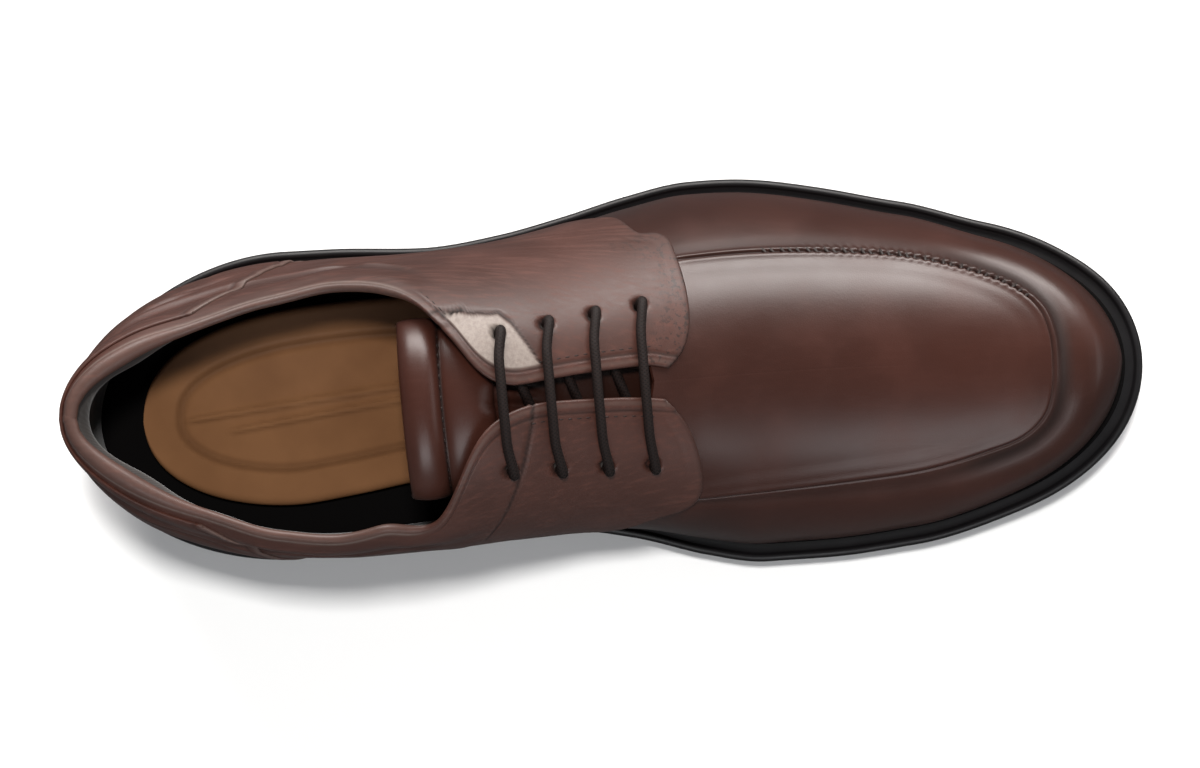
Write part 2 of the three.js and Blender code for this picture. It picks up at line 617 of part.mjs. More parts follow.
// The padded tongue. It lies under the facings with room for the lace and ends in two rolls.
function tongue() {
  const under = -(WALL + 1.6 * LACE);
  const [along, across] = [20, 10];
  const middle = (gapX(OUTER) + gapX(INNER)) / 2 + TONGUE_MIDDLE;
  const rows = [];
  for (let i = 0; i <= along; i++) {
    const share = (i / along) ** 1.35;
    const y = TONGUE_TOP_Y + (TONGUE_END_Y - TONGUE_TOP_Y) * share;
    const roll = clamp01(1 - (y - TONGUE_TOP_Y) / TONGUE_ROLL_LENGTH);
    const swell = roll > 0 ? Math.abs(Math.sin(2 * Math.PI * roll)) ** 0.6 : 0;
    const half = (TONGUE_WIDTH / 2) * (1 - TONGUE_NARROWING * smooth(share));
    const top = [];
    const below = [];
    for (let j = 0; j <= across; j++) {
      const out = 2 * (j / across) - 1;
      const x = middle * (1 - share) + centreX(y) * share + out * half;
      const edge = Math.sqrt(1 - 0.9 * out ** 6);
      const thick = (TONGUE_THICKNESS + (TONGUE_ROLL - TONGUE_THICKNESS) * swell) * edge;
      const lift = (TONGUE_ROLL - TONGUE_THICKNESS) * swell * (1 - out ** 4);
      const { here, normal } = outwards(x, y + (out * TONGUE_SLANT * (1 - share)) / 2, under);
      const upTo = 0.6 * lift - (1 - edge);
      top.push(here.clone().addScaledVector(normal, upTo).toArray());
      below.push(here.clone().addScaledVector(normal, upTo - thick).toArray());
    }
    rows.push([...top, ...below.reverse()]);
  }
  return skinSolid(rows);
}

// The lace's way: over each pair of eyelets from the inner side, and slanting below to the next. Its
// last end is hidden under the outer facing.
function lacePath() {
  const above = QUARTER_STEP + LACE / 2 + 2 * CLEAR;
  const below = -(WALL + LACE / 2 + 2 * CLEAR);
  const points = [];
  const run = (from, to, grow, aside = 0) => {
    for (let k = 1; k < 6; k++) {
      const place = from.clone().lerp(to, k / 6);
      points.push(over(place.x - aside, place.y, grow));
    }
  };
  const through = (place, from, to) => {
    const { here, normal } = outwards(place.x, place.y, 0);
    for (const grow of [from, (from + to) / 2, to]) points.push(here.clone().addScaledVector(normal, grow));
  };
  for (let i = 0; i < EYELETS; i++) {
    const [inner, outer] = [eyeletAt(i, INNER), eyeletAt(i, OUTER)];
    through(inner, below, above - LACE / 4);
    run(inner, outer, above);
    through(outer, above - LACE / 4, below);
    if (i + 1 < EYELETS) run(outer, eyeletAt(i + 1, INNER), below);
  }
  run(eyeletAt(EYELETS - 1, OUTER), eyeletAt(0, OUTER), below, LACE_END_ASIDE);
  return points;
}
function lace() {
  const path = new THREE.CatmullRomCurve3(lacePath(), false, "centripetal");
  const sides = 8;
  const round = new THREE.Shape(Array.from({ length: sides }, (_, i) => {
    const turn = (2 * Math.PI * (i + 0.5)) / sides;
    return new THREE.Vector2(Math.cos(turn), Math.sin(turn)).multiplyScalar(LACE / 2);
  }));
  return solidOf(new THREE.ExtrudeGeometry(round, { steps: 76, bevelEnabled: false, extrudePath: path }));
}

// A named mesh of a solid with its finish.
function mesh(name, solid, color, roughness) {
  const { vertProperties, triVerts } = solid.getMesh();
  const geometry = new THREE.BufferGeometry();
  geometry.setAttribute("position", new THREE.BufferAttribute(vertProperties, 3));
  geometry.setIndex(new THREE.BufferAttribute(triVerts, 1));
  geometry.computeVertexNormals();
  const material = new THREE.MeshStandardMaterial({ color, roughness, metalness: 0 });
  const piece = new THREE.Mesh(geometry, material);
  piece.name = name;
  return piece;
}

const shoe = new THREE.Group();
shoe.name = "dress_shoe";
shoe.add(mesh("heel", heel(), 0x1c1b1c, 0.6));
shoe.add(mesh("outsole", outsole(), 0x222122, 0.6));
shoe.add(mesh("midsole", midsole(), 0x2a292a, 0.5));
shoe.add(mesh("upper", upper(), 0x55362d, 0.38));
shoe.add(mesh("tongue", tongue(), 0x5c4134, 0.4));
shoe.add(mesh("insole", insole(), 0x7a583e, 0.6));
shoe.add(mesh("lace", lace(), 0x3e2c2a, 0.8));

const middle = new THREE.Box3().setFromObject(shoe).getCenter(new THREE.Vector3());
shoe.position.set(-middle.x, -middle.y, 0);

export default shoe;
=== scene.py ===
"""Dresses the CAD frame of a man's lace-up dress shoe: leather panels with folded edges, a padded
tongue and collar, a moulded insole, stitches, a braided lace and a black rubber sole.

Lengths inside the making functions are millimetres from the heel end of the sole: +Y to the toe,
+X to the inner side of the foot, +Z up. make() moves them into the frame, in metres."""

import math

import bmesh
import bpy
import numpy as np
from mathutils import Matrix, Vector
from mathutils.bvhtree import BVHTree


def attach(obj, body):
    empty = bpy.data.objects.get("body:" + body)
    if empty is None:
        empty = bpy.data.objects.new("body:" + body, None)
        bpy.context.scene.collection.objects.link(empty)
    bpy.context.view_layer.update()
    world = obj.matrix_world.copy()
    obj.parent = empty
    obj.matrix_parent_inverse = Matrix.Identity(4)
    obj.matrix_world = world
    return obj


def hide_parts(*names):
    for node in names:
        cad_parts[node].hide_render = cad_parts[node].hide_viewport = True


bl_info = {
    "name": "Dress Shoe Maker",
    "version": (1, 0, 0),
    "blender": (4, 5, 0),
    "location": "View3D > Sidebar > Shoe",
    "description": "Builds a leather lace-up dress shoe on its CAD frame",
    "category": "Add Mesh",
}

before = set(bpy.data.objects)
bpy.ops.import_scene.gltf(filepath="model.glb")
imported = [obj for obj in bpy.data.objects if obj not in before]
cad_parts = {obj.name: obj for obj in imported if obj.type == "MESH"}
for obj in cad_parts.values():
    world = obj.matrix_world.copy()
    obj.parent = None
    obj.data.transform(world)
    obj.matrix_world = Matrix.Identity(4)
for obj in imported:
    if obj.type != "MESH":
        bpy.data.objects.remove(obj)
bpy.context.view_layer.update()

# ---- Sizes shared with the CAD frame, in millimetres
SOLE_LENGTH, BALL_WIDTH = 300.0, 110.0
HEEL_LIFT, TOE_SPRING = 18.0, 9.0
OUTSOLE_THICKNESS, MIDSOLE_THICKNESS = 6.5, 3.2
WELT_WIDTH, TOE_WELT = 4.4, 6.5
RIM_HEIGHT, RIM_WIDTH = 0.8, 1.9
SIDE_GROOVE, HEEL_BREAST, HEEL_TAPER = 1.1, 82.0, 2.2
LUG_DEPTH, LUG_GAP, LUG_PITCH = 1.8, 2.6, 9.0
HEEL_LUG_PITCH, TREAD_START_Y = 14.4, 136.0
INSTEP_HEIGHT, BACK_HEIGHT = 76.0, 60.0
WALL, QUARTER_STEP = 1.8, 1.2
HEEL_LEAN, HEEL_BULGE, HEEL_BULGE_HEIGHT, HEEL_LEAN_END = 2.8, 1.2, 48.0, 0.32
HEEL_ROUND, TOE_ROUND, TOE_CROWN_ROUND = 60.0, 66.0, 34.0
TOE_TIP_HEIGHT, TOE_CROWN_POWER, FLARE_HEIGHT = 9.0, 2.4, 0.5
THROAT_Y = 164.0
EYELETS, EYELET_PITCH, FIRST_EYELET_Y = 4, 12.4, 123.7
EYELET_SET, EYELET_SPREAD, INNER_EYELET_SET = 10.4, 2.25, 17.6
GAP_WIDTH, LACE, LACE_END_ASIDE = 8.6, 2.8, 4.5
TONGUE_WIDTH, TONGUE_SLANT, TONGUE_TOP_Y, TONGUE_END_Y = 51.0, 2.0, 97.5, 178.0
TONGUE_THICKNESS, TONGUE_ROLL, TONGUE_ROLL_LENGTH = 3.0, 7.2, 14.4
TONGUE_NARROWING, TONGUE_MIDDLE = 0.2, 4.3
INSOLE_THICKNESS, INSOLE_RIM, INSOLE_HEEL_GAP, INSOLE_TOE_GAP = 3.2, 1.8, 18.0, 15.0
CLEAR = 0.3
SEAT_HEIGHT = OUTSOLE_THICKNESS + CLEAR + MIDSOLE_THICKNESS
MIDDLE = np.array([6.7335, -150.0, 0.0])
OUTER, INNER = -1, 1


class Table:
    """Rows of numbers under named columns, read by a smooth curve through the rows."""

    def __init__(self, names, *rows):
        self.columns = {n: np.array(c, float) for n, c in zip(names.split(), zip(*rows))}

    def at(self, name, along):
        x, y = self.columns["along"], self.columns[name]
        slope = np.zeros(len(x))
        before, after = y[1:-1] - y[:-2], y[2:] - y[1:-1]
        slope[1:-1] = np.where(before * after <= 0, 0, (before + after) / (x[2:] - x[:-2]))
        along = np.asarray(along, float)
        k = np.clip(np.searchsorted(x, along, side="right") - 1, 0, len(x) - 2)
        span = x[k + 1] - x[k]
        t = np.clip((along - x[k]) / span, 0, 1)
        a, b, c, d = y[k], y[k + 1], slope[k] * span, slope[k + 1] * span
        return a + t * (c + t * (3 * (b - a) - 2 * c - d + t * (2 * (a - b) + c + d)))


OUTLINE = Table(
    "along centre soleOut soleIn weltOut weltIn bedOut bedIn",
    (0.0, 0.0, 0.404, 0.373, 1.0, 1.0, 0.262, 0.24),
    (0.1, 0.0, 0.404, 0.373, 1.0, 1.0, 0.262, 0.242),
    (0.15, 0.0, 0.405, 0.373, 1.0, 1.0, 0.266, 0.24),
    (0.2, 0.0, 0.408, 0.37, 1.0, 1.0, 0.274, 0.234),
    (0.26, -0.002, 0.413, 0.355, 1.0, 1.0, 0.284, 0.214),
    (0.33, -0.006, 0.41, 0.342, 1.0, 1.05, 0.29, 0.19),
    (0.4, -0.014, 0.428, 0.338, 1.0, 1.1, 0.32, 0.21),
    (0.46, -0.018, 0.464, 0.352, 1.0, 1.15, 0.37, 0.25),
    (0.52, -0.025, 0.503, 0.39, 1.0, 1.2, 0.41, 0.3),
    (0.58, -0.031, 0.528, 0.444, 1.0, 1.25, 0.43, 0.34),
    (0.64, -0.038, 0.518, 0.477, 1.0, 1.25, 0.42, 0.37),
    (0.71, -0.042, 0.481, 0.476, 1.0, 1.25, 0.39, 0.37),
    (0.78, -0.041, 0.437, 0.455, 1.0, 1.25, 0.35, 0.36),
    (0.86, -0.038, 0.4, 0.426, 1.05, 1.25, 0.31, 0.33),
    (0.93, -0.035, 0.4, 0.422, 1.15, 1.3, 0.3, 0.32),
    (1.0, -0.033, 0.415, 0.425, 1.3, 1.4, 0.3, 0.32),
)
SECTIONS = Table(
    "along flareOut flareIn shoulderOut shoulderIn crown",
    (0.0, 0.05, 0.05, 0.75, 0.8, 0.92),
    (0.07, 0.05, 0.06, 0.62, 0.86, 0.92),
    (0.13, 0.05, 0.1, 0.46, 0.82, 0.92),
    (0.2, 0.05, 0.2, 0.6, 1.02, 0.935),
    (0.27, 0.05, 0.36, 0.78, 1.18, 0.975),
    (0.34, 0.05, 0.46, 0.86, 1.18, 1.0),
    (0.41, 0.05, 0.5, 0.75, 1.03, 0.97),
    (0.48, 0.04, 0.34, 0.66, 0.84, 0.885),
    (0.56, 0.04, 0.14, 0.62, 0.7, 0.775),
    (0.66, 0.03, 0.05, 0.62, 0.64, 0.645),
    (0.78, 0.03, 0.04, 0.66, 0.68, 0.52),
    (0.9, 0.03, 0.03, 0.72, 0.74, 0.405),
    (1.0, 0.03, 0.03, 0.75, 0.76, 0.33),
)
SOLE_SIDE = Table(
    "along heel spring",
    (0.0, 1.0, 0.0), (0.13, 0.985, 0.0), (0.2, 0.93, 0.0), (0.28, 0.8, 0.0), (0.35, 0.6, 0.0),
    (0.42, 0.38, 0.0), (0.49, 0.17, 0.0), (0.55, 0.04, 0.0), (0.59, 0.0, 0.0), (0.65, 0.0, 0.0),
    (0.71, 0.0, 0.0), (0.78, 0.0, 0.08), (0.86, 0.0, 0.32), (0.93, 0.0, 0.64), (1.0, 0.0, 1.0),
)
TOPLINE = Table(
    "along rise",
    (-0.04, 1.01), (0.02, 0.99), (0.07, 0.955), (0.13, 0.885), (0.19, 0.845), (0.24, 0.84),
    (0.29, 0.885), (0.325, 0.96), (0.355, 1.055), (0.38, 1.13), (0.42, 1.35), (0.6, 2.0),
)
# Inner edges of the facings from above, from the collar to the throat, in millimetres of X.
GAP = Table(
    "along outer inner",
    (0.28, -8.0, 31.0), (0.3, -10.0, 33.6), (0.32, -13.0, 35.2), (0.34, -17.0, 34.6),
    (0.357, -19.0, 31.2), (0.365, -18.6, 27.4), (0.374, -16.6, 22.6), (0.387, -10.6, 14.6),
    (0.398, -6.8, 10.0), (0.411, -4.1, 6.8), (0.427, -3.2, 4.4), (0.447, -4.2, 2.9), (0.482, -5.8, 2.4),
    (0.517, -6.9, 2.3), (0.548, -7.6, 2.8), (0.56, -6.4, 3.3), (0.6, -6.0, 3.6),
)
# The apron seam from above: distances from the section's centre as shares of the ball width.
APRON = Table(
    "along out inn",
    (0.527, 0.287, 0.295), (0.57, 0.298, 0.303), (0.64, 0.302, 0.3), (0.72, 0.292, 0.288),
    (0.79, 0.27, 0.266), (0.845, 0.228, 0.228), (0.882, 0.18, 0.19), (0.902, 0.125, 0.137),
    (0.9095, 0.06, 0.07), (0.911, 0.0, 0.0),
)
# Front edge of each quarter: from the sole up by side view (y, z over the floor), then round the tab
# by top view (x, y).
SIDE_SEAM = ((127.0, 9.5), (130.5, 16.0), (134.5, 23.0), (139.5, 30.5), (146.0, 37.0), (153.5, 42.0))
TABS = {
    OUTER: ((-43.2, 161.0), (-42.9, 166.0), (-41.2, 168.6), (-37.3, 170.2), (-31.4, 172.0), (-24.3, 173.3),
            (-17.3, 173.4), (-10.8, 171.4), (-6.6, 167.8)),
    INNER: ((33.4, 162.0), (31.8, 168.6), (29.8, 172.4), (27.0, 174.2), (23.3, 174.6), (16.6, 173.9),
            (9.7, 171.4), (5.4, 168.6), (3.3, 166.4)),
}
COUNTER_TOP = 0.955
COUNTER_SEAM = ((72.0, 12.0), (69.0, 28.0), (64.5, 42.0), (60.0, 54.0), (54.0, 64.0), (47.0, 72.0), (38.0, 80.0))


def sided(name, side):
    return name + ("Out" if side == OUTER else "In")


def outline(name, y):
    return OUTLINE.at(name, y / SOLE_LENGTH) * BALL_WIDTH


def sole_foot(y):
    share = np.asarray(y, float) / SOLE_LENGTH
    return SOLE_SIDE.at("heel", share) * HEEL_LIFT + SOLE_SIDE.at("spring", share) * TOE_SPRING


def seat(y):
    return sole_foot(y) + SEAT_HEIGHT


def topline(y):
    return seat(0) + TOPLINE.at("rise", np.asarray(y, float) / SOLE_LENGTH) * BACK_HEIGHT


def centre_x(y):
    return outline("centre", y)


def smooth(t):
    t = np.clip(t, 0, 1)
    return t * t * (3 - 2 * t)


def bump(distance, width):
    """1 at distance 0, falling smoothly to 0 at width."""
    return smooth(1 - np.abs(distance) / width)


def round_end(depth, radius):
    return np.sqrt(np.maximum(1 - (1 - np.clip(depth / radius, 0, 1)) ** 2, 0))


def share_of(y):
    return (np.asarray(y, float) - WELT_WIDTH) / (SOLE_LENGTH - TOE_WELT - WELT_WIDTH)


def skin(share, turn, grow=0.0):
    """Points of the upper's surface. share runs from heel to toe, turn from 0 at the outer foot over
    the crown at a half to 1 at the inner foot, and grow moves the surface outwards."""
    share, turn, grow = np.broadcast_arrays(*(np.asarray(v, float) for v in (share, turn, grow)))
    heel, toe = WELT_WIDTH - grow, SOLE_LENGTH - TOE_WELT + grow
    y = heel + (toe - heel) * share
    along, outer, side = y / SOLE_LENGTH, turn < 0.5, np.where(turn < 0.5, OUTER, INNER)

    def pick(table, name):
        return np.where(outer, table.at(name + "Out", along), table.at(name + "In", along))

    t = 1 - np.abs(2 * turn - 1)
    foot = pick(OUTLINE, "sole") * BALL_WIDTH - pick(OUTLINE, "welt") * WELT_WIDTH
    flare = foot * (1 + pick(SECTIONS, "flare")) + grow
    shoulder = foot * pick(SECTIONS, "shoulder") + grow / 2
    front = np.clip(1 - (toe - y) / TOE_CROWN_ROUND, 0, 1)
    fall = np.sqrt(np.maximum(1 - front**TOE_CROWN_POWER, 0))
    crown = TOE_TIP_HEIGHT + (SECTIONS.at("crown", along) * INSTEP_HEIGHT - TOE_TIP_HEIGHT) * fall + grow
    ends = round_end(y - heel, HEEL_ROUND - WELT_WIDTH + grow)
    ends = ends * round_end(toe - y, TOE_ROUND - TOE_WELT + grow)
    p, q, r, s = (1 - t) ** 3, 3 * t * (1 - t) ** 2, 3 * t**2 * (1 - t), t**3
    rise = q * crown * FLARE_HEIGHT + (r + s) * crown
    half = p * (foot + grow) + q * flare + r * shoulder
    rear = (1 - np.clip(share / HEEL_LEAN_END, 0, 1)) ** 1.5
    bulge = HEEL_BULGE * np.sin(math.pi * np.clip(rise / HEEL_BULGE_HEIGHT, 0, 1))
    lean = HEEL_LEAN * (rise / BACK_HEIGHT) ** 2 - bulge
    return np.stack([centre_x(y) + side * half * ends, y + rear * lean, seat(y) + CLEAR + rise], -1)


def leather(share, turn, grow=0.0):
    """The upper's surface with the soft creases of worn-in leather."""
    bare = skin(share, turn, 0.0)
    return skin(share, turn, np.asarray(grow, float) + creases(bare))


CREASES = (
    # side, start (y, z), end (y, z), depth, width
    (OUTER, (4, 68), (60, 60), 1.0, 2.6),
    (OUTER, (8, 60), (62, 53), 1.0, 2.4),
    (OUTER, (12, 52), (66, 46), 0.9, 2.6),
    (OUTER, (24, 45), (84, 38), 0.8, 3.6),
    (OUTER, (60, 66), (104, 60), 0.6, 4.0),
    (OUTER, (66, 56), (120, 50), 0.6, 4.5),
    (OUTER, (88, 44), (136, 40), 0.5, 5.0),
    (INNER, (8, 66), (52, 60), 0.9, 3.0),
    (INNER, (14, 54), (64, 50), 0.8, 3.6),
    (INNER, (40, 68), (84, 62), 0.7, 4.0),
    (INNER, (86, 64), (120, 70), 0.5, 5.0),
)


def creases(points):
    x, y, z = points[..., 0], points[..., 1], points[..., 2]
    total = np.zeros(x.shape)
    for side, (ya, za), (yb, zb), depth, width in CREASES:
        length = math.hypot(yb - ya, zb - za)
        along = ((y - ya) * (yb - ya) + (z - za) * (zb - za)) / length**2
        across = ((y - ya) * (za - zb) + (z - za) * (yb - ya)) / length
        across = across + 2.0 * np.sin(along * 5.0 + ya)
        ends = smooth(np.minimum(along, 1 - along) * 3)
        on_side = smooth(side * (x - centre_x(y)) / 8)
        shape = 0.55 * bump(across - width, 1.4 * width) - bump(across, width)
        total = total + depth * ends * on_side * shape
    return total


def halve(inside, low, high, steps=32):
    """The largest value for which inside(value) still holds, by halving."""
    low, high = np.array(low, float), np.array(high, float)
    for _ in range(steps):
        mid = (low + high) / 2
        ok = inside(mid)
        low, high = np.where(ok, mid, low), np.where(ok, high, mid)
    return low


def whole_turn(side, t):
    """turn of skin() for a way t up one side, 0 at the foot and 1 at the crown."""
    return t / 2 if side == OUTER else 1 - t / 2


def way_at_x(side, y, x, grow=0.0):
    share = share_of(y)
    return halve(lambda t: side * skin(share, whole_turn(side, t), grow)[..., 0] > side * np.asarray(x),
                 np.full(np.shape(share), 0.3), np.ones(np.shape(share)))


def way_at_z(side, y, z):
    share = share_of(y)
    return halve(lambda t: skin(share, whole_turn(side, t))[..., 2] < np.asarray(z),
                 np.zeros(np.shape(share)), np.ones(np.shape(share)))


def over(x, y, grow):
    """The upper's surface at a place given from above."""
    x, y = np.asarray(x, float), np.asarray(y, float)
    heel, toe = WELT_WIDTH - grow, SOLE_LENGTH - TOE_WELT + grow
    share = (y - heel) / (toe - heel)
    side = np.where(x < centre_x(y), OUTER, INNER)

    def turn(t):
        return np.where(side == OUTER, t / 2, 1 - t / 2)

    t = halve(lambda v: side * (skin(share, turn(v), grow)[..., 0] - x) > 0,
              np.full(x.shape, 0.3), np.ones(x.shape))
    return skin(share, turn(t), grow)


def outwards(x, y, grow):
    here, ahead, aside = over(x, y, grow), over(x, np.asarray(y) + 1.0, grow), over(np.asarray(x) + 1.0, y, grow)
    normal = np.cross(aside - here, ahead - here)
    return here, normal / np.linalg.norm(normal, axis=-1, keepdims=True)


def gap_x(side):
    return float(centre_x(THROAT_Y)) + GAP_WIDTH / 8 + side * GAP_WIDTH / 2


def eyelet(i, side):
    y = FIRST_EYELET_Y + i * EYELET_PITCH + (LACE / 2 if side == INNER else 0)
    out = EYELET_SET + i * EYELET_SPREAD if side == OUTER else INNER_EYELET_SET
    return np.array([gap_x(side) + side * out, y])


# ---- Meshes


def normals_of(grid):
    """Unit normals of a grid of points, from its own rows and columns."""
    down, across = np.gradient(grid, axis=0), np.gradient(grid, axis=1)
    n = np.cross(across, down)
    return n / np.maximum(np.linalg.norm(n, axis=-1, keepdims=True), 1e-9)


def unit(v):
    return v / np.maximum(np.linalg.norm(v, axis=-1, keepdims=True), 1e-9)


def add_grid(bm, grid, values=None, wrap_rows=False, wrap_columns=False):
    """Adds a grid of points to a bmesh, shaped from bmesh's own flat grid."""
    if wrap_rows:
        grid = np.concatenate([grid, grid[:1]], 0)
        values = None if values is None else {k: np.concatenate([v, v[:1]], 0) for k, v in values.items()}
    if wrap_columns:
        grid = np.concatenate([grid, grid[:, :1]], 1)
        values = None if values is None else {k: np.concatenate([v, v[:, :1]], 1) for k, v in values.items()}
    rows, columns = grid.shape[:2]
    layers = {k: bm.verts.layers.float.get(k) or bm.verts.layers.float.new(k) for k in (values or {})}
    made = bmesh.ops.create_grid(bm, x_segments=columns - 1, y_segments=rows - 1, size=1.0)["verts"]
    points = grid.reshape(-1, 3)
    flat = {k: v.reshape(-1) for k, v in (values or {}).items()}
    for i, vert in enumerate(made):
        vert.co = points[i]
        for k, layer in layers.items():
            vert[layer] = flat[k][i]
    return made


def add_rims(outer, inner, values, edges):
    """Rounds the open edges of a double sheet: outer and inner grids are carried on by a quarter turn
    to where they meet."""
    for edge in edges:
        axis, last = {"top": (0, True), "bottom": (0, False), "front": (1, True), "back": (1, False)}[edge]
        o, i = np.moveaxis(outer, axis, 0), np.moveaxis(inner, axis, 0)
        v = {k: np.moveaxis(a, axis, 0) for k, a in values.items()}
        if not last:
            o, i, v = o[::-1], i[::-1], {k: a[::-1] for k, a in v.items()}
        radius = np.linalg.norm(o[-1] - i[-1], axis=-1, keepdims=True) / 2
        normal = unit(o[-1] - i[-1])
        along = np.gradient(o[-1], axis=0)
        out = np.cross(normal, along)
        out = unit(out * np.sign(np.sum(out * (o[-1] - o[-3]), -1, keepdims=True)))
        turns = np.radians([18, 36, 54, 72, 90])
        o_more = np.stack([o[-1] + radius * (math.sin(a) * out - (1 - math.cos(a)) * normal) for a in turns])
        i_more = np.stack([i[-1] + radius * (math.sin(a) * out + (1 - math.cos(a)) * normal) for a in turns])
        o, i = np.concatenate([o, o_more]), np.concatenate([i, i_more])
        v = {k: np.concatenate([a, np.repeat(a[-1:], len(turns), 0)]) for k, a in v.items()}
        if not last:
            o, i, v = o[::-1], i[::-1], {k: a[::-1] for k, a in v.items()}
        outer, inner = np.moveaxis(o, 0, axis), np.moveaxis(i, 0, axis)
        values = {k: np.moveaxis(a, 0, axis) for k, a in v.items()}
    return outer, inner, values


def double_sheet(outer, thickness, values=None, edges=("top", "bottom", "front", "back"), outward=None):
    """A bmesh of one sheet with a wall: its outer face as given, its inner face a thickness below, and
    its edges rounded."""
    normal = normals_of(outer)
    if outward is not None and np.sum(normal * outward) < 0:
        normal = -normal
    inner = outer - normal * np.broadcast_to(np.asarray(thickness, float), outer.shape[:2])[..., None]
    outer, inner, values = add_rims(outer, inner, dict(values or {}), edges)
    bm = bmesh.new()
    add_grid(bm, outer, values)
    add_grid(bm, inner, values)
    bmesh.ops.remove_doubles(bm, verts=bm.verts, dist=1e-4)
    bmesh.ops.recalc_face_normals(bm, faces=bm.faces)
    return bm


def make(name, bm, materials, replaces=(), flat=False):
    """Turns a bmesh in millimetres into a finished object in the frame."""
    bm.verts.ensure_lookup_table()
    for vert in bm.verts:
        vert.co = (vert.co + Vector(MIDDLE)) * 0.001
    mesh = bpy.data.meshes.new(name)
    bm.to_mesh(mesh)
    bm.free()
    piece = bpy.data.objects.new(name, mesh)
    bpy.context.scene.collection.objects.link(piece)
    for material in materials if isinstance(materials, (list, tuple)) else [materials]:
        mesh.materials.append(material)
    mesh.polygons.foreach_set("use_smooth", [not flat] * len(mesh.polygons))
    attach(piece, "root")
    if replaces:
        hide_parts(*replaces)
    return piece


def tube(path, radius, sides=12, flatten=1.0, up=None):
    """A grid round a path: rows along it, columns round it, from a frame carried along without twist."""
    tangent = unit(np.gradient(path, axis=0))
    side = np.zeros_like(path)
    start = np.cross(tangent[0], [0.3, 0.2, 1.0]) if up is None else np.cross(tangent[0], up)
    side[0] = unit(start)
    for k in range(1, len(path)):
        carried = side[k - 1] - tangent[k] * np.dot(side[k - 1], tangent[k])
        side[k] = unit(carried)
    lift = np.cross(side, tangent)
    angle = np.linspace(0, 2 * math.pi, sides, endpoint=False)
    radius = np.broadcast_to(np.asarray(radius, float), len(path))[:, None, None]
    ring = np.cos(angle)[None, :, None] * side[:, None] + flatten * np.sin(angle)[None, :, None] * lift[:, None]
    return path[:, None] + radius * ring


def resample(points, count, smoothness=0.5):
    """Even points along a Catmull-Rom curve through the given ones."""
    p = np.asarray(points, float)
    p = np.concatenate([[2 * p[0] - p[1]], p, [2 * p[-1] - p[-2]]])
    gaps = np.linalg.norm(np.diff(p, axis=0), axis=1) ** smoothness
    knots = np.concatenate([[0], np.cumsum(np.maximum(gaps, 1e-6))])
    dense = []
    for k in range(1, len(p) - 2):
        t0, t1, t2, t3 = knots[k - 1:k + 3]
        t = np.linspace(t1, t2, 24, endpoint=False)[:, None]
        a1 = (t1 - t) / (t1 - t0) * p[k - 1] + (t - t0) / (t1 - t0) * p[k]
        a2 = (t2 - t) / (t2 - t1) * p[k] + (t - t1) / (t2 - t1) * p[k + 1]
        a3 = (t3 - t) / (t3 - t2) * p[k + 1] + (t - t2) / (t3 - t2) * p[k + 2]
        b1 = (t2 - t) / (t2 - t0) * a1 + (t - t0) / (t2 - t0) * a2
        b2 = (t3 - t) / (t3 - t1) * a2 + (t - t1) / (t3 - t1) * a3
        dense.append((t2 - t) / (t2 - t1) * b1 + (t - t1) / (t2 - t1) * b2)
    dense = np.concatenate([*dense, p[-2:-1]])
    way = np.concatenate([[0], np.cumsum(np.linalg.norm(np.diff(dense, axis=0), axis=1))])
    at = np.linspace(0, way[-1], count)
    return np.stack([np.interp(at, way, dense[:, c]) for c in range(dense.shape[1])], 1)


def length_of(path):
    return float(np.linalg.norm(np.diff(path, axis=0), axis=1).sum())


# ---- The quarter's own coordinates: rows follow the top edge and columns follow the front edge


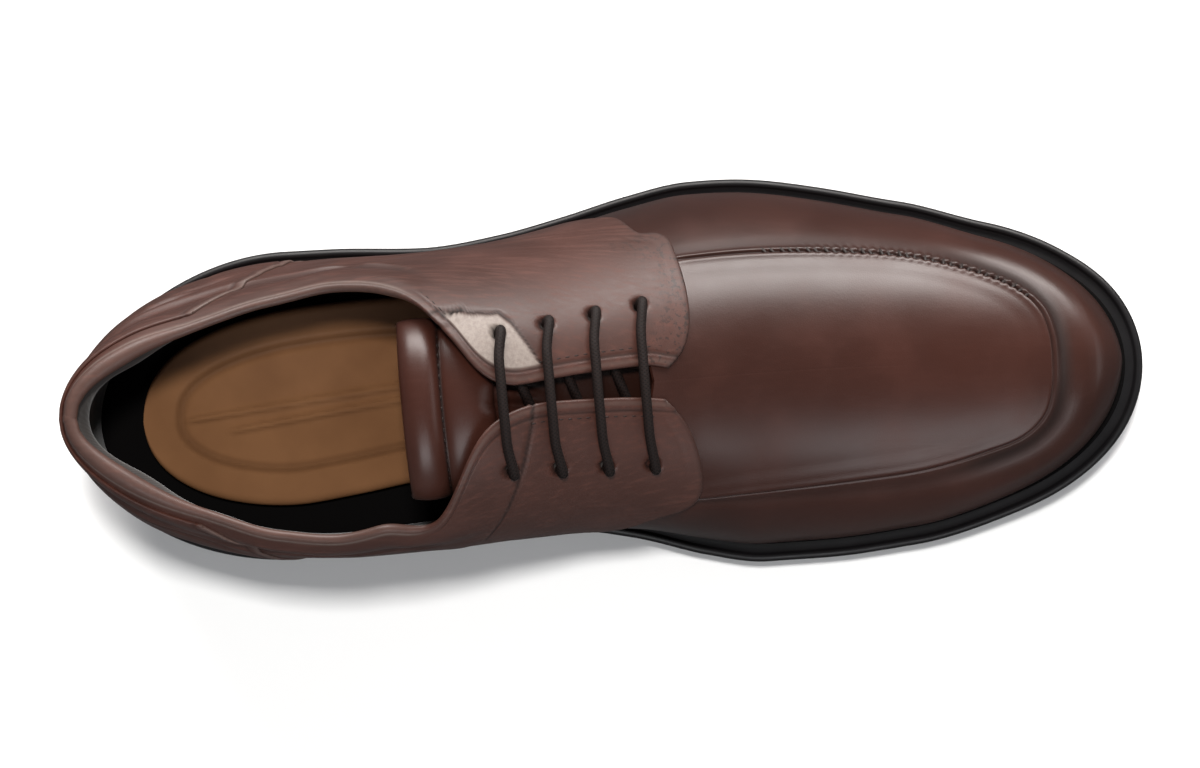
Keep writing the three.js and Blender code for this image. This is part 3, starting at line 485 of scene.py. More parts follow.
class QuarterMap:
    """Rows of one side of the shoe at even distances below the top edge. row is 0 at the foot and 1 at
    the top edge."""

    FROM_TOP = 16.0
    MEAN = 92.0

    def __init__(self, side, last_y=178.0, lower=0.0):
        self.side = side
        self.shares = np.linspace(0.0, float(share_of(last_y)), 260)
        self.rows = np.linspace(0, 1, 240)
        column = "outer" if side == OUTER else "inner"

        def inside(t):
            point = skin(self.shares, whole_turn(side, t), QUARTER_STEP)
            edge = GAP.at(column, point[:, 1] / SOLE_LENGTH)
            below = point[:, 2] < topline(point[:, 1]) - lower
            return below & ((point[:, 1] < 84) | (side * point[:, 0] > side * edge))

        top = halve(inside, np.full(260, 0.1), np.ones(260))
        kernel = np.hanning(17) / np.hanning(17).sum()
        top = np.convolve(np.pad(top, 8, mode="edge"), kernel, mode="valid")
        ways = np.linspace(0, 1, 300)[None] * top[:, None]
        points = skin(self.shares[:, None], whole_turn(side, ways), QUARTER_STEP)
        arc = np.concatenate([np.zeros((260, 1)), np.cumsum(np.linalg.norm(np.diff(points, axis=1), axis=2), 1)], 1)
        drop = (1 - self.rows) * self.MEAN
        self.table = np.zeros((260, 240))
        for i in range(260):
            full = arc[i, -1]
            down = np.where(drop < self.FROM_TOP, drop, self.FROM_TOP + (drop - self.FROM_TOP)
                            * (full - self.FROM_TOP) / (self.MEAN - self.FROM_TOP))
            self.table[i] = np.interp(full - down, arc[i], ways[i])

    def way(self, share, row):
        """How far up the side a row lies, by interpolation in the table."""
        a = np.clip(np.interp(share, self.shares, np.arange(260.0)), 0, 258.999)
        b = np.clip(np.asarray(row) * 239, 0, 238.999)
        i, j = a.astype(int), b.astype(int)
        u, v = a - i, b - j
        return ((1 - u) * ((1 - v) * self.table[i, j] + v * self.table[i, j + 1])
                + u * ((1 - v) * self.table[i + 1, j] + v * self.table[i + 1, j + 1]))

    def row(self, share, way):
        """The row at a way up the side."""
        i = int(np.clip(np.interp(share, self.shares, np.arange(260.0)), 0, 259))
        return float(np.interp(way, self.table[i], self.rows))

    def turn(self, share, row):
        return whole_turn(self.side, self.way(share, row))


def front_edge(side, quarter):
    """The quarter's front edge as (share, row) points from the sole to the gap."""
    points = []
    for y, z in SIDE_SEAM:
        share = float(share_of(y))
        points.append((share, quarter.row(share, float(way_at_z(side, y, z)))))
    for x, y in TABS[side]:
        share = float(share_of(y))
        points.append((share, min(quarter.row(share, float(way_at_x(side, y, x))), 1.0)))
    points[0] = (points[0][0], 0.0)
    points[-1] = (points[-1][0], 1.0)
    scaled = np.array(points) * [289.0, 92.0]
    return resample(scaled, 400) / [289.0, 92.0]


SPREAD = np.array([289.0, 92.0])


def panel_grid(edge, rows, columns, back=0.0, near=14.0, mean=165.0, fan=34.0):
    """(share, row) of a panel behind its front edge. Its columns keep their distance to the edge close
    to it, and its rows leave the edge in order and spread evenly further back."""
    way = np.concatenate([[0], np.cumsum(np.hypot(*(np.diff(edge, axis=0) * SPREAD).T))])
    at = np.linspace(0, way[-1], rows)
    front = np.stack([np.interp(at, way, edge[:, k]) for k in range(2)], 1)
    low, high = edge[0, 1], edge[-1, 1]
    even = low + (high - low) * (0.45 * at / way[-1] + 0.55 * np.linspace(0, 1, rows))
    full = (front[:, :1] - back) * SPREAD[0]
    spread = (1 - np.linspace(0, 1, columns))[None] * mean
    behind = np.where(spread < near, spread, near + (spread - near) * (full - near) / (mean - near))
    hold = np.clip(1 - behind / fan, 0, 1) ** 2
    return front[:, :1] - behind / SPREAD[0], even[:, None] + (front[:, 1] - even)[:, None] * hold


def from_edge(edge, share, row):
    """Distance of each point from a panel's front edge, in millimetres on the leather."""
    flat = np.full(share.shape, 1e9)
    for a, b in zip(edge[:-1:2] * SPREAD, edge[2::2] * SPREAD):
        step = b - a
        t = np.clip(((share * SPREAD[0] - a[0]) * step[0] + (row * SPREAD[1] - a[1]) * step[1]) / (step @ step), 0, 1)
        flat = np.minimum(flat, np.hypot(share * SPREAD[0] - a[0] - t * step[0], row * SPREAD[1] - a[1] - t * step[1]))
    return flat


def beside(edge, distance):
    """The edge's line moved back by a distance in millimetres."""
    flat = edge * SPREAD
    along = unit(np.gradient(flat, axis=0))
    return (flat + distance * np.stack([-along[:, 1], along[:, 0]], 1)) / SPREAD


# ---- Materials


class Sum:
    """A socket or number whose arithmetic adds Math nodes."""

    def __init__(self, maker, socket):
        self.maker, self.socket = maker, socket

    def _math(self, operation, a, b=None, c=None):
        values = {i: v for i, v in enumerate((a, b, c)) if v is not None}
        return self.maker.node("ShaderNodeMath", {"operation": operation}, values)

    def __add__(self, other):
        return self._math("ADD", self, other)

    def __radd__(self, other):
        return self._math("ADD", other, self)

    def __sub__(self, other):
        return self._math("SUBTRACT", self, other)

    def __rsub__(self, other):
        return self._math("SUBTRACT", other, self)

    def __mul__(self, other):
        return self._math("MULTIPLY", self, other)

    def __rmul__(self, other):
        return self._math("MULTIPLY", other, self)

    def __truediv__(self, other):
        return self._math("DIVIDE", self, other)

    def __pow__(self, other):
        return self._math("POWER", self, other)

    def min(self, other):
        return self._math("MINIMUM", self, other)

    def max(self, other):
        return self._math("MAXIMUM", self, other)

    def sin(self):
        return self._math("SINE", self)

    def abs(self):
        return self._math("ABSOLUTE", self)


class Finish:
    """One material, its shader and what feeds it."""

    def __init__(self, name, **sockets):
        self.material = bpy.data.materials.new(name)
        self.material.use_nodes = True
        self.tree = self.material.node_tree
        self.shader = self.tree.nodes["Principled BSDF"]
        self.set(**sockets)

    def node(self, kind, settings=None, values=None, output=0):
        node = self.tree.nodes.new(kind)
        for key, value in (settings or {}).items():
            if key == "stops":
                ramp = node.color_ramp.elements
                while len(ramp) < len(value):
                    ramp.new(1.0)
                for element, (place, colour) in zip(ramp, value):
                    element.position = place
                    element.color = (*colour, 1.0) if len(colour) == 3 else colour
            else:
                setattr(node, key, value)
        for key, value in (values or {}).items():
            self.feed(node.inputs[key], value)
        return Sum(self, node.outputs[output])

    def feed(self, socket, value):
        if isinstance(value, Sum):
            self.tree.links.new(value.socket, socket)
        elif isinstance(value, bpy.types.NodeSocket):
            self.tree.links.new(value, socket)
        elif hasattr(value, "__len__") and len(value) == 3 and socket.type == "RGBA":
            socket.default_value = (*value, 1.0)
        else:
            socket.default_value = value

    def set(self, **sockets):
        for key, value in sockets.items():
            self.feed(self.shader.inputs[key.replace("_", " ")], value)

    def place(self, source="Object"):
        node = self.tree.nodes.new("ShaderNodeTexCoord")
        return Sum(self, node.outputs[source])

    def noise(self, where, scale, detail=3.0, roughness=0.55, distortion=0.0):
        return self.node("ShaderNodeTexNoise", {}, {"Vector": where, "Scale": scale, "Detail": detail,
                                                     "Roughness": roughness, "Distortion": distortion})

    def cells(self, where, scale, feature="DISTANCE_TO_EDGE", randomness=1.0):
        return self.node("ShaderNodeTexVoronoi", {"feature": feature},
                         {"Vector": where, "Scale": scale, "Randomness": randomness})

    def stretched(self, where, scale):
        return self.node("ShaderNodeMapping", {}, {"Vector": where, "Scale": scale})

    def ramp(self, value, *stops):
        return self.node("ShaderNodeValToRGB", {"stops": stops}, {"Fac": value})

    def mix(self, factor, a, b, blend="MIX"):
        node = self.tree.nodes.new("ShaderNodeMix")
        node.data_type, node.blend_type = "RGBA", blend
        for key, value in (("Factor_Float", factor), ("A_Color", a), ("B_Color", b)):
            self.feed(next(s for s in node.inputs if s.identifier == key), value)
        return Sum(self, next(s for s in node.outputs if s.identifier == "Result_Color"))

    def attribute(self, name):
        node = self.tree.nodes.new("ShaderNodeAttribute")
        node.attribute_name = name
        return Sum(self, node.outputs["Fac"])

    def relief(self, height, distance, strength=1.0, under=None):
        values = {"Height": height, "Distance": distance, "Strength": strength}
        if under is not None:
            values["Normal"] = under
        return self.node("ShaderNodeBump", {}, values)


def linear(*rgb):
    return tuple(c / 12.92 if c <= 0.04045 else ((c + 0.055) / 1.055) ** 2.4 for c in (v / 255 for v in rgb))


def smooth_leather(name, mid, dark, light, rough=0.36, brushed=0.06, grain=1.0):
    """Polished calf leather: fine pores, faint mottling, darkened by painted shade in its seams, grooves and holes,
    and lighter where rubbed and where highlights are painted on its edges.
    """
    made = Finish(name, Coat_Weight=0.12, Coat_Roughness=0.28, Specular_IOR_Level=0.5)
    where = made.place()
    mottle = made.noise(where, 55.0, 4.0)
    cloud = made.noise(where, 14.0, 3.0)
    pores = made.cells(where, 1500.0)
    fine = made.noise(where, 2600.0, 2.0)
    colour = made.mix(made.ramp(cloud, (0.35, (0, 0, 0)), (0.68, (1, 1, 1))), linear(*dark), linear(*mid))
    colour = made.mix((mottle - 0.5) * 0.6, colour, linear(*light))
    streaks = made.noise(made.stretched(where, (1.0, 0.045, 1.0)), 800.0, 3.0, 0.6)
    colour = made.mix(made.ramp(streaks, (0.5, (0, 0, 0)), (0.72, (brushed,) * 3)), colour, linear(*light))
    # Painted shade: the shade attribute darkens seams, grooves, creases and eyelet holes.
    shade = made.attribute("shade")
    # Rubbed wear together with painted highlights on rolled edges, both lightening the colour to a pinkish grey.
    wear_and_highlight = made.attribute("wear_and_highlight")
    specks = made.ramp(made.noise(where, 900.0, 4.0, 0.7), (0.36, (0, 0, 0)), (0.6, (1, 1, 1)))
    colour = made.mix((wear_and_highlight * (specks * 0.25 + 0.68)).min(1.0), colour, linear(136, 126, 119))
    dots = made.ramp(made.noise(where, 620.0, 3.0, 0.7), (0.53, (0, 0, 0)), (0.6, (1, 1, 1)))
    colour = made.mix(made.attribute("flecked") * dots * 0.75, colour, linear(24, 14, 11))
    colour = made.mix(shade.min(1.0), colour, linear(14, 8, 6))
    made.set(Base_Color=colour,
             Roughness=(mottle - 0.5) * 0.2 + (streaks - 0.5) * brushed + (shade * 0.4 + wear_and_highlight * 0.1) + rough)
    skin_bump = made.relief(pores.min(0.25), 0.00006, 0.45 * grain)
    made.set(Normal=made.relief(fine, 0.00003, 0.35 * grain, skin_bump))
    return made.material


def plain_rubber(name, colour, rough):
    made = Finish(name, Specular_IOR_Level=0.4)
    where = made.place()
    mottle = made.noise(where, 120.0, 3.0)
    scuff = made.noise(where, 900.0, 2.0)
    made.set(Base_Color=made.mix(mottle, linear(*colour), linear(*(c * 1.35 for c in colour))),
             Roughness=(mottle - 0.5) * 0.2 + rough, Normal=made.relief(scuff, 0.00004, 0.35))
    return made.material


def matt_lining(name):
    made = Finish(name, Sheen_Weight=0.25, Roughness=0.9)
    where = made.place()
    weave = made.node("ShaderNodeTexWave", {"wave_type": "BANDS", "bands_direction": "DIAGONAL"},
                      {"Vector": where, "Scale": 420.0, "Distortion": 1.0})
    fuzz = made.noise(where, 700.0, 3.0)
    made.set(Base_Color=made.mix(fuzz, linear(30, 26, 24), linear(48, 42, 39)),
             Normal=made.relief(weave * 0.5 + fuzz, 0.00012, 0.6))
    return made.material


def tan_sock(name):
    made = Finish(name, Roughness=0.62, Specular_IOR_Level=0.4)
    where = made.place()
    cloud = made.noise(where, 28.0, 4.0)
    fine = made.noise(where, 1400.0, 3.0)
    shade = made.attribute("shade")
    colour = made.mix(made.ramp(cloud, (0.3, (0, 0, 0)), (0.7, (1, 1, 1))), linear(102, 69, 45), linear(124, 87, 58))
    # Darker where the shade attribute holds painted shade: the groove inside the insole's rim.
    colour = made.mix(shade.min(1.0), colour, linear(62, 40, 26))
    made.set(Base_Color=colour, Normal=made.relief(fine, 0.00006, 0.4))
    return made.material


def waxed_cord(name):
    """Braided cord: strands cross in a diamond pattern, from where each point lies round and along it."""
    made = Finish(name, Roughness=0.7, Specular_IOR_Level=0.3)
    angle = made.node("ShaderNodeMath", {"operation": "ARCTAN2"},
                      {0: made.attribute("round_y"), 1: made.attribute("round_x")})
    along = made.attribute("along")
    one = (angle * 3.0 + along * 3.0).sin().abs()
    other = (angle * 3.0 - along * 3.0).sin().abs()
    strands = one.max(other)
    fuzz = made.noise(made.place(), 2500.0, 2.0)
    # The strands' crowns lighter and the grooves between them darker: painted shade in the braid.
    made.set(Base_Color=made.mix(strands ** 3.0, linear(11, 7, 6), linear(27, 18, 16)),
             Normal=made.relief(strands + fuzz * 0.3, 0.00015, 0.5))
    return made.material


def thread(name, colour):
    made = Finish(name, Roughness=0.6)
    twist = made.noise(made.place(), 3000.0, 1.0)
    made.set(Base_Color=made.mix(twist, linear(*colour), linear(*(c * 0.6 for c in colour))))
    return made.material


FINISHES = {}


def finish_of(name):
    if name not in FINISHES:
        look = bpy.context.scene.shoe_look
        base = tuple(255 * (c * 12.92 if c <= 0.0031308 else 1.055 * c ** (1 / 2.4) - 0.055)
                     for c in look.leather_colour)
        dark, light = tuple(c * 0.78 for c in base), tuple(min(c * 1.42, 255) for c in base)

        def greyed(share):
            return tuple(min(share * (0.85 * c + 0.15 * base[0] * 0.8), 255) for c in base)

        makers = {
            "leather": lambda: smooth_leather("polished_leather", base, dark, light, look.leather_roughness),
            # The quarters get a lighter, greyer copy of the leather colour as painted sheen, with a rougher, brushed
            # finish.
            "brushed_leather_painted_sheen": lambda: smooth_leather("brushed_leather_painted_sheen", greyed(1.3), greyed(1.06), greyed(1.8),
                                                      look.leather_roughness + 0.17, 0.32),
            "tongue_leather": lambda: smooth_leather("tongue_leather", greyed(1.2), base, greyed(1.6), 0.4),
            "rubber": lambda: plain_rubber("black_rubber", (15, 14, 15), 0.46),
            "lining": lambda: matt_lining("grey_lining"),
            # A matt black sheet: painted shadow for the gap round the insole.
            "shadow_felt": lambda: Finish("painted_shadow_board", Base_Color=linear(12, 11, 11), Roughness=1.0,
                                   Specular_IOR_Level=0.05).material,
            "sock": lambda: tan_sock("tan_sock_leather"),
            "cord": lambda: waxed_cord("braided_cord"),
            "thread": lambda: thread("dark_thread", (34, 21, 17)),
        }
        FINISHES[name] = makers[name]()
    return FINISHES[name]


# ---- Pieces


def eyelet_marks(points, side):
    """How deep the leather is at the eyelets, and the painted shade inside their holes."""
    depth, dark = np.zeros(points.shape[:2]), np.zeros(points.shape[:2])
    for i in range(EYELETS):
        place = eyelet(i, side)
        flat = np.hypot(points[..., 0] - place[0], points[..., 1] - place[1])
        depth = depth + 2.2 * smooth((2.0 - flat) / 0.6) + 0.1 * bump(flat - 2.3, 0.9)
        # Painted shade inside each eyelet hole.
        dark = np.maximum(dark, smooth((2.2 - flat) / 0.7))
    return depth, dark


def quarter_relief(side, quarter, share, row, from_front):
    """How far the quarter stands out of the bare surface, where painted shade and dark marks darken it, and where
    rubbed wear and painted highlights lighten it.
    """
    down = (1 - row) * quarter.MEAN
    bare = skin(share, quarter.turn(share, row), QUARTER_STEP)
    facing = smooth((bare[..., 1] - 100) / 8)
    groove = bump(down - 2.9, 0.55) * facing
    if side == OUTER:
        behind = (np.interp(bare[..., 1], *CORNER_SEAM) - down) / 1.25
    else:
        behind = np.interp(down, *CROSS_SEAM) - bare[..., 1]
    reach = smooth((44 - down) / 4)
    strap = bump(behind, 0.8) * reach * facing
    depth, dark = eyelet_marks(bare, side)
    collar = smooth((106 - bare[..., 1]) / 12)
    roll = collar * (0.9 * bump(down - 6.0, 6.5) - 0.8 * bump(down - 14.0, 3.5))
    raised = 0.25 * smooth(behind / 0.4) * reach
    tab = smooth((60 - down) / 8)
    lip = -0.07 * bump(from_front - 3.6, 0.7) * tab
    grow = 1.35 - 0.35 * groove - 0.4 * strap - depth + roll + raised * facing + lip
    # Painted shade in the eyelet holes, the facing's groove, the seam's groove and the trough under the collar roll.
    shade = dark + 0.55 * groove + 0.75 * strap + 0.35 * bump(down - 14.0, 3.0) * collar
    shade = shade + 0.45 * bump(from_front - 0.2, 0.5) * tab
    # Lighter along the collar's and the facing's top edges: painted highlights on the rolled edges, with rubbed wear
    # on the collar.
    wear_and_highlight = 0.4 * bump(down - 0.6, 0.9) * collar + 0.12 * bump(down - 0.8, 1.0) * facing
    flecks = np.zeros_like(wear_and_highlight)
    if side == OUTER:
        tear = bare[..., 0] + 22.6 + 0.45 * (bare[..., 1] - 112)
        scar = smooth((3.6 - np.abs(bare[..., 1] - 112)) / 1.5)
        grow = grow + scar * (0.55 * bump(tear - 1.4, 1.6) - 0.5 * bump(tear + 0.2, 0.9))
        shade = shade + scar * bump(tear + 0.2, 0.9)
        # The pale patch at the outer facing's corner: rubbed leather with a painted highlight.
        wear_and_highlight = wear_and_highlight + 0.95 * smooth(behind / 1.4) * facing * smooth((down - 3.2) / 1.0)
        flecks = bump(from_front - 1, 13.0) * smooth((50 - down) / 14) * tab
    return grow, {"shade": np.clip(shade, 0, 1), "wear_and_highlight": wear_and_highlight, "flecked": flecks}, collar


def quarter_sheet(side, quarter, edge, count=(156, 226)):
    share, row = panel_grid(edge, *count)
    grow, values, collar = quarter_relief(side, quarter, share, row, from_edge(edge, share, row))
    outer = leather(share, quarter.turn(share, row), grow)
    heel_sides = bump(share * 289 - 14, 26)
    thickness = 1.35 + (1.3 + 2.2 * heel_sides) * smooth((14 - (1 - row) * quarter.MEAN) / 12) * collar
    return double_sheet(outer, thickness, values, outward=np.array([side, 0, 1.0]))


# The seam of the pale corner on the outer facing, whose lighter colour is rubbed wear with a painted highlight, as its
# distance below the top edge at each y, and the seam across the inner facing, as its y at each distance below the top
# edge.
CORNER_SEAM = ((104, 107, 109, 114, 119, 123.7, 127.2, 131.2, 135.7, 138.5), (-4, 1.5, 4, 10.5, 16.5, 19.5, 17, 10.5, 2, -4))
CROSS_SEAM = ((0, 6, 14, 22, 30, 38, 46), (132.0, 131.0, 128.8, 126.0, 122.5, 118.0, 113.0))


def counter_sheet(side, quarter):
    """The overlay at the heel, its front edge curving back up to the collar."""
    points = []
    for y, z in COUNTER_SEAM:
        share = float(share_of(y))
        points.append((share, quarter.row(share, float(way_at_z(side, y, z)))))
    points = [point for point in points if point[1] < COUNTER_TOP - 0.03]
    points[0] = (points[0][0], 0.0)
    points.append((points[-1][0] - 0.02, COUNTER_TOP))
    edge = resample(np.array(points) * [289.0, 92.0], 300) / [289.0, 92.0]
    share, row = panel_grid(edge, 100, 110, near=10.0, mean=70.0)
    from_front = from_edge(edge, share, row)
    grow = quarter_relief(side, quarter, share, row, 99.0 + 0 * share)[0] + 0.75 - 0.25 * bump(from_front - 2.4, 0.7)
    # Painted shade in the groove beside the front edge.
    shade = 0.4 * bump(from_front - 2.4, 0.7)
    outer = leather(share, quarter.turn(share, row), grow)
    # Lighter along the front edge: rubbed wear and a painted highlight on the rounded edge.
    wear_and_highlight = 0.2 * bump(from_front, 1.6)
    return double_sheet(outer, 0.95, {"shade": shade, "wear_and_highlight": wear_and_highlight}, outward=np.array([side, 0, 1.0]))


def apron_line(count):
    """The apron seam from above, from the outer side round the toe to the inner side."""
    along = APRON.columns["along"]
    sides = []
    for side, name in ((OUTER, "out"), (INNER, "inn")):
        y = along * SOLE_LENGTH
        x = centre_x(y) + side * APRON.columns[name] * BALL_WIDTH
        sides.append(np.stack([x, y], 1))
    return resample(np.concatenate([sides[0], sides[1][:-1][::-1]]), count)


class Last:
    """The bare surface of the upper as triangles, to find the surface's own coordinates near a point."""

    def __init__(self, rows=420, columns=240):
        share = (1 - np.cos(np.linspace(0.9, math.pi, rows))) / 2
        self.share, self.turn = np.meshgrid(share, np.linspace(0, 1, columns), indexing="ij")
        points = skin(self.share, self.turn)
        index = np.arange(rows * columns).reshape(rows, columns)
        a, b, c, d = index[:-1, :-1].ravel(), index[1:, :-1].ravel(), index[1:, 1:].ravel(), index[:-1, 1:].ravel()
        self.faces = np.concatenate([np.stack([a, b, c], 1), np.stack([a, c, d], 1)])
        self.points = points.reshape(-1, 3)
        self.tree = BVHTree.FromPolygons(self.points.tolist(), self.faces.tolist())
        self.where = np.stack([self.share.ravel(), self.turn.ravel()], 1)

    def nearest(self, points):
        """(share, turn) of the surface nearest to each point."""
        flat = points.reshape(-1, 3)
        hits = [self.tree.find_nearest(Vector(p)) for p in flat]
        corners = self.faces[[hit[2] for hit in hits]]
        a, b, c = (self.points[corners[:, k]] for k in range(3))
        r = np.array([hit[0] for hit in hits]) - a
        ab, ac = b - a, c - a
        bb, bc, cc = ((m * n).sum(1) for m, n in ((ab, ab), (ab, ac), (ac, ac)))
        rb, rc = (r * ab).sum(1), (r * ac).sum(1)
        whole = np.maximum(bb * cc - bc * bc, 1e-12)
        u, v = ((cc * rb - bc * rc) / whole)[:, None], ((bb * rc - bc * rb) / whole)[:, None]
        found = (1 - u - v) * self.where[corners[:, 0]] + u * self.where[corners[:, 1]] + v * self.where[corners[:, 2]]
        return found[:, 0].reshape(points.shape[:-1]), found[:, 1].reshape(points.shape[:-1])


def vamp_sheet():
    """Apron and side wall in one sheet. Its columns run along the apron seam from the outer quarter
    round the toe to the inner quarter, and its rows from the middle of the apron to the welt."""
    last = Last()
    count = 366
    seam = apron_line(count)
    fan = smooth((seam[:, 1] - 216) / 56)
    spine_y = np.where(seam[:, 1] > 216, 216 + 16 * fan, 164 + (seam[:, 1] - seam[0, 1]) * 52 / (216 - seam[0, 1]))
    spine = np.stack([centre_x(spine_y) + 0.5, spine_y], 1)
    inner_rows = 1 - (1 - np.linspace(0, 1, 46)) ** 1.25
    seam3 = over(seam[:, 0], seam[:, 1], 0.0)
    seam_share, seam_turn = last.nearest(seam3)
    plug_xy = spine[None] + (seam - spine)[None] * inner_rows[:, None, None]
    plug = over(plug_xy[..., 0], plug_xy[..., 1], 0.0)
    plug_share, plug_turn = last.nearest(plug)

    start_y = 118.0
    way = np.concatenate([[0], np.cumsum(np.linalg.norm(np.diff(seam, axis=0), axis=1))])
    middle = np.interp(0.0, seam[:, 0] - centre_x(seam[:, 1]), way)
    side = np.where(way < middle, OUTER, INNER)
    foot_share = np.zeros(count)
    for s in (OUTER, INNER):
        on = side == s
        gone = np.abs(way[on] - middle) / abs((way[0] if s == OUTER else way[-1]) - middle)
        back = float(share_of(start_y))
        foot_share[on] = foot_along(s, back, 1 - gone)
    foot = skin(foot_share, np.where(side == OUTER, 0.0, 1.0))
    corner = np.stack([foot[:, 0], foot[:, 1], seam3[:, 2] * 0.75 + foot[:, 2] * 0.25], 1)
    v = (np.linspace(0, 1, 70)[1:]) ** 1.0
    wall = ((1 - v) ** 2)[:, None, None] * seam3 + (2 * v * (1 - v))[:, None, None] * corner + (v**2)[:, None, None] * foot
    wall_share, wall_turn = last.nearest(wall)
    share = np.concatenate([plug_share, wall_share])
    turn = np.concatenate([plug_turn, wall_turn])
    points = skin(share, turn)
    seam_row = len(inner_rows) - 1
    return last, share, turn, points, seam_row, way, side


def foot_along(side, back, gone):
    """Shares of points evenly spaced along the welt on one side, from back at 0 to the toe's tip at 1."""
    share = back + (1 - back) * np.sin(np.linspace(0, math.pi / 2, 800))
    points = skin(share, 0.0 if side == OUTER else 1.0)
    way = np.concatenate([[0], np.cumsum(np.linalg.norm(np.diff(points, axis=0), axis=1))])
    return np.interp(gone * way[-1], way, share)


def refine_rows(share, turn, seam_row, points):
    """Adds rows close to the seam, at fixed distances from it."""
    arc = np.concatenate([np.zeros((1, points.shape[1])),
                          np.cumsum(np.linalg.norm(np.diff(points, axis=0), axis=2), 0)])
    signed = arc - arc[seam_row]
    near = np.array([-7, -5.6, -4.4, -3.4, -2.6, -2.0, -1.5, -1.1, -0.8, -0.55, -0.3, 0, 0.3, 0.55, 0.8,
                     1.1, 1.5, 2.0, 2.6, 3.4, 4.4, 5.6, 7, 8.6, 10.4, 12.4])
    inner = np.linspace(0, 1, 40)[:-1]
    outer = np.linspace(0, 1, 56)[1:]
    rows = len(inner) + len(near) + len(outer)
    made = np.zeros((rows, points.shape[1], 3))
    for c in range(points.shape[1]):
        low, high = signed[0, c], signed[-1, c]
        want = np.concatenate([low + (near[0] - low) * inner, near, near[-1] + (high - near[-1]) * outer])
        made[:, c, 0] = np.interp(want, signed[:, c], share[:, c])
        made[:, c, 1] = np.interp(want, signed[:, c], turn[:, c])
        made[:, c, 2] = want
    return made[..., 0], made[..., 1], made[..., 2]


GATHER = 2.5


def vamp_relief(points, signed, way):
    """Lip, crease and trough of the apron seam, and its gathers on the outer front run, with painted shade in the
    crease, between the gathers and along the trough.
    """
    x, y = points[..., 0], points[..., 1]
    outer = smooth((centre_x(y) - x + 4) / 12)
    toe = smooth((y - 235) / 25)
    front = smooth((y - 196) / 24)
    start = smooth((y - 165) / 10)
    lip = (0.35 + 0.2 * outer) * bump(signed + 1.2, 1.9) + 0.3 * bump(signed + 3.4, 4.2)
    crease = -(0.35 + 0.35 * outer + 0.2 * toe) * bump(signed, 0.8)
    bead = 0.3 * outer * bump(signed - 1.3, 1.1)
    trough = -(0.4 - 0.3 * outer + (0.45 + 0.3 * outer) * toe) * bump(signed - 4.6, 4.4)
    swell = 0.55 * toe * bump(signed - 13.0, 7.0)
    gathered = smooth((-19 - x) / 8) * front
    gathers = gathered * 0.45 * np.sin(way[None] * 2 * math.pi / GATHER) * bump(signed - 0.4, 3.0)
    # Painted shade: darker in the seam's crease, between the gathers and in the trough beside the seam, most at the
    # toe.
    shade = (0.3 + 0.4 * outer) * bump(signed, 0.8) * start
    shade = shade + 0.45 * gathered * bump(signed - 0.4, 2.6) * (0.6 - 0.4 * np.sin(way[None] * 2 * math.pi / GATHER))
    shade = shade + 0.45 * (toe + 0.4 * start) * bump(signed - 3.6, 4.2)
    return start * (lip + crease + bead + trough + swell + gathers), np.clip(shade, 0, 1)


def stitch_row(bm, path, normal, length=1.9, gap=1.0, radius=0.28, sink=0.1):
    """Stitches along a path that lies on the leather."""
    way = np.concatenate([[0], np.cumsum(np.linalg.norm(np.diff(path, axis=0), axis=1))])
    count = int(way[-1] / (length + gap))
    for k in range(count):
        at = (k + 0.5) * way[-1] / count
        here = np.array([np.interp(at, way, path[:, c]) for c in range(3)])
        ahead = np.array([np.interp(at + 0.4, way, path[:, c]) for c in range(3)])
        up = np.array([np.interp(at, way, normal[:, c]) for c in range(3)])
        add_stitch(bm, here - up * sink, ahead - np.array([np.interp(at - 0.4, way, path[:, c]) for c in range(3)]), up, length, radius)


def add_stitch(bm, here, along, up, length, radius):
    along = unit(along)
    up = unit(up - along * np.dot(up, along))
    side = np.cross(up, along)
    turn = Matrix((Vector(along), Vector(side), Vector(up))).transposed().to_4x4()
    size = Matrix.Diagonal((length / 2, radius, radius * 0.8, 1.0))
    bmesh.ops.create_uvsphere(bm, u_segments=6, v_segments=5, radius=1.0,
                              matrix=Matrix.Translation(Vector(here)) @ turn @ size)


def ring(name, inset, start, end, flat_front, heights, count):
    """A closed ring of the shoe's outline, stood in from the edge, as one row of points."""
    heel, toe = start + inset, end if flat_front else end - inset
    k = np.linspace(0, 1, count)
    share = 1 - np.cos(math.pi / 2 * k) if flat_front else (1 - np.cos(math.pi * k)) / 2
    y = heel + (toe - heel) * share

    def edge(side):
        half = outline(sided(name, side), y) - inset + (1.7 * bump(y - 52, 50) if side == OUTER else 0)
        ends = round_end(y - heel, HEEL_ROUND - inset)
        if not flat_front:
            ends = ends * round_end(toe - y, TOE_ROUND - inset)
        return np.stack([centre_x(y) + side * half * ends, y, heights(y)], 1)

    outer, inner = edge(OUTER), edge(INNER)[::-1]
    return np.concatenate([outer, inner])


def stacked(levels, count=140, flat_front=False, start=0.0, end=SOLE_LENGTH, name="sole"):
    """A closed solid of rings one above another, its flat ends filled by strips straight across."""
    rings = np.stack([ring(name, inset, start, end, flat_front, height, count) for inset, height in levels])
    bm = bmesh.new()
    add_grid(bm, rings, wrap_columns=True)
    for level in (rings[0], rings[-1]):
        outer, inner = level[:count], level[count:][::-1]
        cap = outer[None] + (inner - outer)[None] * np.linspace(0, 1, 9)[:, None, None]
        add_grid(bm, cap)
    bmesh.ops.remove_doubles(bm, verts=bm.verts, dist=1e-3)
    bmesh.ops.recalc_face_normals(bm, faces=bm.faces)
    return bm


